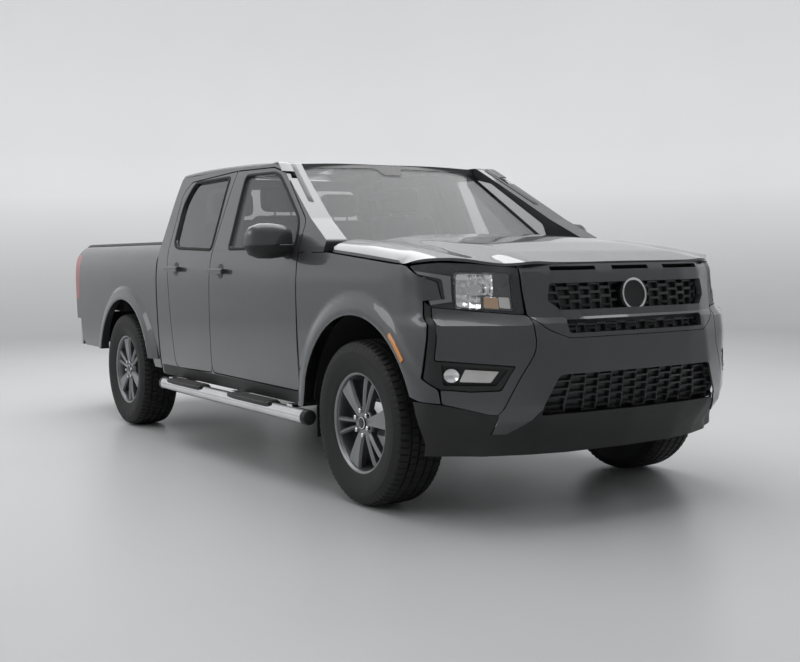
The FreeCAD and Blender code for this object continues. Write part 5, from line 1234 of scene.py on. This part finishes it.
def make_fog_lamps():
    room = front_outline(FOG_ROOM)
    both_sides("corner_trim", widened(front_outline(TRIM), -0.0015), 0.012, "black_plastic", [room],
               lift=-0.004, step=0.02)
    recess = both_sides("fog_recess", widened(room, 0.004), 0.003, "black_plastic", lift=-0.026, step=0.02,
                        material=GRILLE_BLACK)
    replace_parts(recess, "fog_lamps")
    both_sides("fog_lens", front_outline(FOG_LENS), 0.012, "lamp_clear", lift=-0.010, step=0.012,
               material=PALE_LENS)
    for tail, side in reversed(SIDES):
        round_lamp("fog_reflector_" + tail, FOG_PROFILE, side * at_y(*FOG_SPOT)[0], FOG_SPOT[1], 1.1, 32)


BOSS_TILT = math.radians(7.0)
BOSS_CENTRE = Vector((FRONT_AXLE_X + 0.862, 0.0, 0.974))
BOSS_PROFILE = [(-0.045, 0.0), (-0.045, 0.078), (-0.006, 0.080), (0.000, 0.078), (0.002, 0.073),
                (-0.001, 0.069), (-0.003, 0.060), (-0.001, 0.0)]
BOSS_RING = [(-0.002, 0.0715), (0.0040, 0.0705), (0.0062, 0.0670), (0.0062, 0.0640),
             (0.0038, 0.0610), (-0.002, 0.0600)]


def make_boss():
    """Plain round boss in the middle of the grille: dark disc in a thin bright ring."""
    ahead = Vector((math.cos(BOSS_TILT), 0.0, math.sin(BOSS_TILT)))
    across = Vector((0.0, 1.0, 0.0))
    place = about(BOSS_CENTRE, ahead, across, ahead.cross(across))
    turned("badge_boss", BOSS_PROFILE, place, 64, "black_plastic", "truck", GRILLE_BLACK)
    turned("badge_ring", BOSS_RING, place, 72, "bright_metal", "truck", CHROME, closed=True)


# Hood

HOOD_LINE = [(-0.300, 1.262), (0.0, 1.240), (0.300, 1.207), (0.600, 1.162), (0.860, 1.108), (0.900, 1.100)]
HOOD_KNOTS = (0.0, 0.220, 0.400, 0.500, 0.610, 0.740, 0.820, 0.868, 0.890, 0.912)
HOOD_OUTLINE = ((-0.250, 0.0, 0.0), (-0.240, 0.884, 0.0), (0.410, 0.884, 0.06), (0.524, 0.804, 0.06),
                (0.716, 0.604, 0.06), (0.778, 0.530, 0.04), (0.812, 0.400, 0.08), (0.832, 0.0, 0.0))
LEAF_PLACE = (FRONT_AXLE_X - 0.290, 0.640, 1.185)
LEAF_HALF = 0.006
LEAF_PROFILE = ((-0.011, -0.011), (-0.011, 0.011), (0.050, 0.040), (0.108, 0.036), (0.060, 0.014),
                (0.012, -0.011))


def hood_section(forward):
    """Points (across, height) of the hood's skin from its centre to its edge."""
    centre = between(HOOD_LINE, forward)
    shoulder = centre - 0.050
    edge = min(edge_height(HOOD_EDGE_Z, forward), shoulder - 0.028)
    t = (forward + 0.300) / 1.160
    return [(0.0, centre), (0.220, centre - 0.001), (0.400, centre - 0.007 + 0.007 * t),
            (0.500, centre - 0.017 + 0.017 * t), (0.610, centre - 0.029 + 0.007 * t),
            (0.740, centre - 0.024), (0.818, centre - 0.035), (0.862, shoulder),
            (0.881, edge + 0.55 * (shoulder - edge)), (0.884, edge)]


def hood_point(f, s):
    """Point of the hood's skin at a distance forward and a developed distance across."""
    points = [Vector(p) for p in hood_section(f)]
    i, span, t = knot_span(HOOD_KNOTS, min(abs(s), HOOD_KNOTS[-1] - 1e-6))
    last = points[i - 1] if i > 0 else Vector((-points[1].x, points[1].y))
    last_knot = HOOD_KNOTS[i - 1] if i > 0 else -HOOD_KNOTS[1]
    start = (points[i + 1] - last) / (HOOD_KNOTS[i + 1] - last_knot)
    end = (points[i + 1] - points[i]) / span
    if i + 2 < len(points):
        end = (points[i + 2] - points[i]) / (HOOD_KNOTS[i + 2] - HOOD_KNOTS[i])
    p = bend(points[i], points[i + 1], start * span, end * span, t)
    return Vector((FRONT_AXLE_X + f, math.copysign(p.x, s), p.y))


def hood_place(p):
    return faced(hood_point, p, 0.002, (0.0, math.copysign(0.4, p.y), 1.0))


def make_hood():
    """Curved panel with its two hinge leaves."""
    widths = [(point[0], knot) for point, knot in zip(hood_section(0.6), HOOD_KNOTS)]
    left = [(f, HOOD_KNOTS[-1] if y > 0.88 else between(widths, y), r) for f, y, r in HOOD_OUTLINE]
    outline = rounded([c for c in left if c[1] > 0.0] + [(f, -s, r) for f, s, r in reversed(left) if s > 0.0])
    piece = sheet("hood_panel", outline, hood_place, 0.012, "body_paint", "hood", step=0.03, sharp=30.0)
    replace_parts(piece, "hood")
    x, y, z = LEAF_PLACE
    for tail, side in reversed(SIDES):
        heap = Heap()
        heap.loft([[Vector((x + ahead, side * y + shift, z + rise)) for ahead, rise in LEAF_PROFILE]
                   for shift in (-LEAF_HALF, LEAF_HALF)])
        heap.piece("hood_leaf_" + tail, "body_paint", "hood", None, 20.0)


# Cab trim

FRONT_WINDOW = [(-0.650, 1.186, 0.024), (-0.676, 1.330, 0.080), (-0.960, 1.520, 0.090),
                (-1.105, 1.604, 0.070), (-1.512, 1.612, 0.024), (-1.456, 1.208, 0.016),
                (-1.190, 1.208, 0.012), (-1.130, 1.186, 0.012)]
REAR_WINDOW = [(-1.722, 1.208, 0.020), (-1.758, 1.616, 0.020), (-2.272, 1.612, 0.040),
               (-2.352, 1.492, 0.060), (-2.318, 1.246, 0.040), (-2.240, 1.222, 0.040)]
WINDOWS = (("front", FRONT_WINDOW, 0.016), ("rear", REAR_WINDOW, 0.018))
HANDLES = (("front", -1.550, 1.076), ("rear", -2.235, 1.086))
HANDLE_SHIFT = 0.020
# Size of the flat dark sheets painted as shade above and below each door handle
HANDLE_SHADE_HALF = 0.036
HANDLE_SHADE_START = 0.012
HANDLE_SHADE_HEIGHT = 0.030


def make_window_seals():
    for tail, side in SIDES:
        for name, corners, width in WINDOWS:
            door = "%s_door_%s" % (name, tail)
            window = rounded([(FRONT_AXLE_X + x, z, r) for x, z, r in corners])
            hits = met(surfaces(door), side, dense(widened(window, width * 0.5), 0.03))
            strip("%s_window_seal_%s" % (name, tail), hits, width, 0.004, "black_rubber", door, sink=0.003)


def body_side(side, p, lift=0.0):
    """Place of a flat point (x, z) on the body side."""
    return Vector((p.x, side * (between(HALF_WIDTHS, p.y) + lift), p.y))


def make_handle_shades():
    """Dark sheets above and below each door handle: painted shade for the finger recesses there."""
    for tail, side in SIDES:
        for name, x, z in HANDLES:
            centre = FRONT_AXLE_X + x + HANDLE_SHIFT
            for part, sign in (("upper", 1.0), ("lower", -1.0)):
                outline = []
                for k in range(9):
                    t = math.pi * k / 8.0
                    outline.append(Vector((centre + HANDLE_SHADE_HALF * math.cos(t),
                                           z + sign * (HANDLE_SHADE_START + HANDLE_SHADE_HEIGHT * math.sin(t)))))
                # Each flat dark oval is painted shade, where the recess behind the handle lies in shadow
                sheet("%s_handle_cup_%s_%s" % (name, tail, part), outline,
                      lambda p: (body_side(side, p, 0.0012), Vector((0.0, side, 0.0))), 0.002,
                      "black_plastic", "%s_door_%s" % (name, tail), lift=0.001, step=0.008,
                      material=GRILLE_BLACK)


def screen_point(s, t):
    """Point on the windscreen's outer face: s across from -1 to 1, t from foot to top."""
    edge = between([(0.0, 0.742), (0.5, 0.668), (1.0, 0.590)], t)
    bow = 0.066 - 0.030 * t
    return Vector((1.260 - 0.700 * t - bow * s * s, s * edge, 1.190 + 0.488 * t))


def screen_place(p):
    return faced(screen_point, p, 0.01, (1.0, 0.0, 0.0))


SCREEN_EDGE = [(-0.995, 0.01, 0.03), (0.995, 0.01, 0.03), (0.995, 0.985, 0.05), (-0.995, 0.985, 0.05)]
SCREEN_CLEAR = [(-0.945, 0.085, 0.08), (0.945, 0.085, 0.08), (0.930, 0.930, 0.10), (0.14, 0.945, 0.04),
                (0.10, 0.86, 0.03), (-0.10, 0.86, 0.03), (-0.14, 0.945, 0.04), (-0.930, 0.930, 0.10)]
WIPERS = (("left", Vector((0.10, 0.045)), Vector((0.86, 0.075))),
          ("right", Vector((-0.72, 0.045)), Vector((0.02, 0.085))))


def make_screen():
    """Black ceramic edge, sensor housing, mirror and wipers."""
    sheet("screen_edge", rounded(SCREEN_EDGE), screen_place, 0.0012, "black_plastic", "truck",
          holes=[rounded(SCREEN_CLEAR)], lift=0.0016, step=0.05, material=GRILLE_BLACK)
    fittings("inner_mirror", "interior_dark", "truck",
             (((0.520, -0.055, 1.520), (0.640, 0.055, 1.590), 0.012),
              ((0.500, -0.125, 1.475), (0.522, 0.125, 1.545), 0.010)))
    for name, foot, tip in WIPERS:
        heap = Heap()
        line = [screen_place(foot.lerp(tip, k / 8.0)) for k in range(9)]
        rod(heap, [p + n * 0.012 for p, n in line], 0.0065, 8)
        heap_strip(heap, [(p + n * 0.003, n) for p, n in line], 0.006, 0.008, False, 0.0)
        base = line[0][0] + Vector((0.045, 0.0, -0.010))
        rod(heap, [base, base + Vector((-0.02, 0.0, 0.022)), line[3][0] + line[3][1] * 0.018], 0.007, 8)
        heap.piece("wiper_" + name, "black_plastic", "truck", GRILLE_BLACK, 35.0)


def make_pillars():
    """Black seals down both sides of the windscreen, and the painted mouldings beside its top corners."""
    trees = surfaces("cab_body", "fixed_glass", "roof_panel")
    for tail, side in SIDES:
        hits = pillar_line(trees, side, 1.050, 0.03, 0.97, 14)
        strip("screen_seal_" + tail, hits, 0.028, 0.004, "black_rubber", "truck", False, GRILLE_BLACK, 0.006)
        hits = pillar_line(trees, side, 1.125, 0.72, 0.97, 12)
        strip("pillar_moulding_" + tail, hits, 0.066, 0.002, "body_paint", "truck", False, None, 0.006)


def pillar_line(trees, side, across, low, high, count):
    """Points on the screen pillar beside the glass, carried straight over any gap in it."""
    heights = []
    for k in range(count):
        point, normal = screen_place(Vector((side * across, low + (high - low) * k / (count - 1))))
        hit = touch(trees, point + normal * 0.12, -normal)
        rise = None if hit is None else (hit[0] - point).dot(normal)
        heights.append((point, normal, rise))
    sound = [k for k, (_, _, rise) in enumerate(heights) if rise is not None and rise > -0.010]
    line = []
    for k, (point, normal, rise) in enumerate(heights):
        before = max([i for i in sound if i <= k] or sound[:1])
        after = min([i for i in sound if i >= k] or sound[-1:])
        share = (k - before) / (after - before) if after > before else 0.0
        level = heights[before][2] * (1.0 - share) + heights[after][2] * share
        line.append((point + normal * level, normal))
    return line


# Outline of the black sheets painted as shade along the sills
SILL_SHADE_OUTLINE = [(-0.770, 0.408, 0.01), (1.166, 0.408, 0.01), (1.166, 0.472, 0.01), (-0.770, 0.472, 0.01)]


def make_sill_shades():
    """Black sheets along the sills under the doors: painted shade where the lower body lies in the truck's
    shadow.
    """
    for tail, side in SIDES:
        def on_side(p):
            slope = (between(HALF_WIDTHS, p.y + 0.01) - between(HALF_WIDTHS, p.y - 0.01)) / 0.02
            return body_side(side, p), unit(Vector((0.0, side, -slope)))
        # A matte black sheet laid on the sill as painted shade
        sheet("sill_shade_" + tail, rounded(SILL_SHADE_OUTLINE), on_side, 0.004, "black_plastic", "truck",
              lift=0.0035, step=0.03)


MIRROR_STATIONS = ((0.868, 0.020, 0.045, 0.0), (0.885, 0.048, 0.075, 0.0), (0.930, 0.060, 0.092, 0.0),
                   (0.990, 0.062, 0.098, 0.0), (1.050, 0.056, 0.096, -0.004), (1.092, 0.040, 0.080, -0.012),
                   (1.110, 0.018, 0.048, -0.020))
MIRROR_X = 1.058
MIRROR_Z = 1.246
MIRROR_ARM = ((0.868, 1.150, 0.035, 0.030), (0.895, 1.168, 0.034, 0.024), (0.930, 1.180, 0.034, 0.020),
              (0.965, 1.186, 0.036, 0.018))
MIRROR_ARM_X = 1.062
MIRROR_GLASS = [(0.905, 1.182, 0.02), (1.075, 1.188, 0.03), (1.085, 1.310, 0.03), (0.900, 1.318, 0.03)]
MIRROR_GLASS_X = 0.9985


def boxy(value, power):
    """A sine or cosine pushed outward, so that an oval becomes a rounded box."""
    return math.copysign(abs(value) ** power, value)


def make_mirrors():
    """Door mirrors: painted cap with a crease, black shell, foot and arm, and the glass."""
    half_turn = [math.pi * k / 16.0 for k in range(17)]
    for tail, side in SIDES:
        door = "front_door_" + tail
        cap, shell = Heap(), Heap()
        upper, lower = [], []
        for y, depth, height, drift in MIRROR_STATIONS:
            line = [(MIRROR_X + drift + depth * boxy(math.cos(t), 0.7), math.sin(t)) for t in half_turn]
            upper.append([Vector((x, side * y, MIRROR_Z - 0.030 + (height + 0.010) * s ** 0.62))
                          for x, s in line])
            lower.append([Vector((x, side * y, MIRROR_Z - 0.033 - (height - 0.030) * s ** 0.55))
                          for x, s in line])
        cap.loft(upper)
        shell.loft(lower)
        shell.loft([[Vector((MIRROR_ARM_X + half_x * boxy(math.cos(t), 0.6), side * y,
                             z + half_z * boxy(math.sin(t), 0.6))) for t in turns(20)]
                    for y, z, half_x, half_z in MIRROR_ARM])
        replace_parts(cap.piece("mirror_cap_" + tail, "body_paint", door, None, 40.0), "mirror_" + tail)
        shell.piece("mirror_shell_" + tail, "black_plastic", door, None, 40.0)
        sheet("mirror_glass_" + tail, rounded(MIRROR_GLASS),
              lambda p: (Vector((MIRROR_GLASS_X, side * p.x, p.y)), Vector((-1.0, 0.0, 0.0))), 0.002,
              "bright_metal", door, lift=0.0015, step=0.03, material=CHROME)


# Load bed and steps

RAIL_CAP = ((0.734, 1.240), (0.734, 1.2545), (0.739, 1.2605), (0.776, 1.2610), (0.790, 1.2560),
            (0.803, 1.2440), (0.797, 1.2420))
RAIL_CAP_STATIONS = ((-2.548, -0.003), (-2.540, 0.0), (-0.822, 0.0), (-0.812, -0.003))
GATE_CAP = ((-2.568, 1.232), (-2.570, 1.2530), (-2.566, 1.2600), (-2.500, 1.2605), (-2.4885, 1.2540),
            (-2.4885, 1.244))
BUMPER_STEPS = ((-0.74, -0.42, -2.640, 0.6915), (-0.36, 0.36, -2.655, 0.6515), (0.42, 0.74, -2.640, 0.6915))
STEP_Y = 0.925
STEP_Z = 0.364
STEP_PAD_LENGTH = 0.520
STEP_PADS = ((1, -0.500), (2, 0.420))
STEP_CAPS = ((-0.632, -1.0), (1.320, 1.0))
STEP_CAP_PROFILE = ((-0.020, 0.0392), (0.006, 0.0392), (0.014, 0.034), (0.018, 0.022))


def make_bed_trim():
    """Black caps along the bed's rails and the tailgate's top, tailgate handle, bumper step pads."""
    for tail, side in SIDES:
        heap = Heap()
        heap.loft([[Vector((x, side * y, z + (grow if z > 1.25 else 0.0))) for y, z in RAIL_CAP]
                   for x, grow in RAIL_CAP_STATIONS])
        heap.piece("bed_rail_cap_" + tail, "black_plastic", "truck", None, 35.0)
    heap = Heap()
    heap.loft([[Vector((x, y, z)) for x, z in GATE_CAP] for y in (-0.694, -0.688, 0.688, 0.694)])
    heap.piece("tailgate_cap", "black_plastic", "tailgate", None, 35.0)
    fittings("tailgate_handle_cup", "black_plastic", "tailgate",
             (((-2.566, -0.105, 1.118), (-2.548, 0.105, 1.182), 0.006),), GRILLE_BLACK)
    fittings("tailgate_handle", "black_plastic", "tailgate",
             (((-2.576, -0.090, 1.142), (-2.562, 0.090, 1.176), 0.005),))
    ribs = [((x + 0.014 * k, y0, z - 0.003), (x + 0.014 * k + 0.009, y1, z + 0.004), 0.0025)
            for y0, y1, x, z in BUMPER_STEPS for k in range(6)]
    fittings("bumper_step_ribs", "black_rubber", "truck", ribs)


def make_step_pads():
    """Ribbed black treads and end caps on the side steps."""
    for tail, side in SIDES:
        for number, x0 in STEP_PADS:
            heap = Heap()
            x1 = x0 + STEP_PAD_LENGTH
            rings = []
            for k in range(9):
                half = 0.052 if 0 < k < 8 else 0.036
                section = ((-half, 0.022), (-half, 0.036), (-half + 0.008, 0.041), (half - 0.008, 0.041),
                           (half, 0.036), (half, 0.022))
                rings.append([Vector((x0 + (x1 - x0) * k / 8.0, side * STEP_Y + dy, STEP_Z + dz))
                              for dy, dz in section])
            heap.loft(rings)
            for k in range(7):
                y = side * STEP_Y - 0.036 + 0.012 * k
                block(heap, (x0 + 0.03, y - 0.003, 0.404), (x1 - 0.03, y + 0.003, 0.4085), 0.0015)
            heap.piece("step_pad_%s_%d" % (tail, number), "black_plastic", "truck", None, 35.0)
        heap = Heap()
        for x, out in STEP_CAPS:
            heap.loft([[Vector((x + out * along, side * STEP_Y + radius * math.cos(t),
                                STEP_Z + radius * math.sin(t))) for t in turns(24)]
                       for along, radius in STEP_CAP_PROFILE])
        heap.piece("step_caps_" + tail, "black_plastic", "truck", None, 35.0)


# Seats

CUSHION = [(-0.25, 0.560), (-0.25, 0.852), (0.255, 0.894), (0.258, 0.760), (0.20, 0.560)]
BACK = [(-0.262, 0.822), (-0.418, 1.384), (-0.312, 1.404), (-0.142, 0.862)]
HEADREST = [(-0.445, 1.424), (-0.452, 1.572), (-0.352, 1.576), (-0.345, 1.424)]
CHANNEL_DEPTH = 0.011
CHANNEL_WIDTH = 0.030
PAD_STEPS = 28
FRONT_SEAT = (0.450, 0.412)
REAR_SEAT = (-0.300, 0.400)


def pad(name, x, y, half, profile, crown, channels):
    """A crowned pad: side outline swept across the seat, drawn in towards its ends, with sewn channels."""
    outline = dense(rounded([(px, pz, 0.050) for px, pz in profile]), 0.03)
    centre = sum(outline, Vector((0.0, 0.0))) / len(outline)
    rings = []
    for i in range(PAD_STEPS + 1):
        w = -1.0 + 2.0 * i / PAD_STEPS
        end = max(0.0, (abs(w) - 0.80) / 0.20)
        shrink = 1.0 - 0.16 * end ** 2.2
        swell = crown * (1.0 - w * w)
        groove = 0.0
        for channel in channels:
            groove += CHANNEL_DEPTH * math.exp(-((abs(w) - channel) / CHANNEL_WIDTH) ** 2)
        ring = []
        for p in outline:
            q = centre + (p - centre) * shrink + unit(p - centre) * (swell - groove)
            ring.append(Vector((x + q.x, y + w * half, q.y)))
        rings.append(ring)
    heap = Heap()
    heap.loft(rings)
    piece = heap.piece(name, "seat_fabric", "truck", None, 60.0)
    subdivide = piece.modifiers.new("subdivide", "SUBSURF")
    subdivide.levels = 1
    subdivide.render_levels = 1
    return piece


def make_seats():
    cushions = []
    x, y = FRONT_SEAT
    rear_x, rear_y = REAR_SEAT
    for tail, side in SIDES:
        cushions.append(pad("front_cushion_" + tail, x, side * y, 0.228, CUSHION, 0.004, (0.55,)))
        pad("front_back_" + tail, x, side * y, 0.228, BACK, 0.004, (0.55,))
        pad("front_headrest_" + tail, x, side * y, 0.130, HEADREST, 0.004, ())
        pad("rear_headrest_" + tail, rear_x, side * rear_y, 0.130, HEADREST, 0.004, ())
    pad("rear_cushion", rear_x, 0.0, 0.636, CUSHION, 0.003, (0.26, 0.60))
    pad("rear_back", rear_x, 0.0, 0.636, BACK, 0.003, (0.26, 0.60))
    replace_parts(cushions[0], "seats")
    stems = Heap()
    for seat_x, seat_y in (FRONT_SEAT, REAR_SEAT):
        for side in (1.0, -1.0):
            for shift in (-0.055, 0.055):
                across = side * seat_y + shift
                rod(stems, [Vector((seat_x - 0.385, across, 1.36)), Vector((seat_x - 0.395, across, 1.45))],
                    0.007, 10)
    stems.piece("headrest_stems", "bright_metal", "truck", None, 40.0)


def make_dash():
    """Instrument hood, centre screen and air vents over the dashboard."""
    boxes = [((0.930, 0.235, 1.130), (1.120, 0.560, 1.205), 0.022),
             ((0.885, -0.150, 1.075), (0.925, 0.130, 1.235), 0.012)]
    for y in (-0.600, 0.180, 0.620):
        boxes.append(((0.905, y - 0.050, 1.085), (0.945, y + 0.050, 1.140), 0.008))
    fittings("dash_fittings", "interior_dark", "truck", boxes)


make_camera()
dress_nodes()
make_studio()
make_lights()
make_grille()
make_bumper()
make_fenders()
make_headlamps()
make_fog_lamps()
make_boss()
make_hood()
make_wheels()
make_window_seals()
make_handle_shades()
make_screen()
make_pillars()
make_sill_shades()
make_mirrors()
make_bed_trim()
make_step_pads()
make_seats()
make_dash()
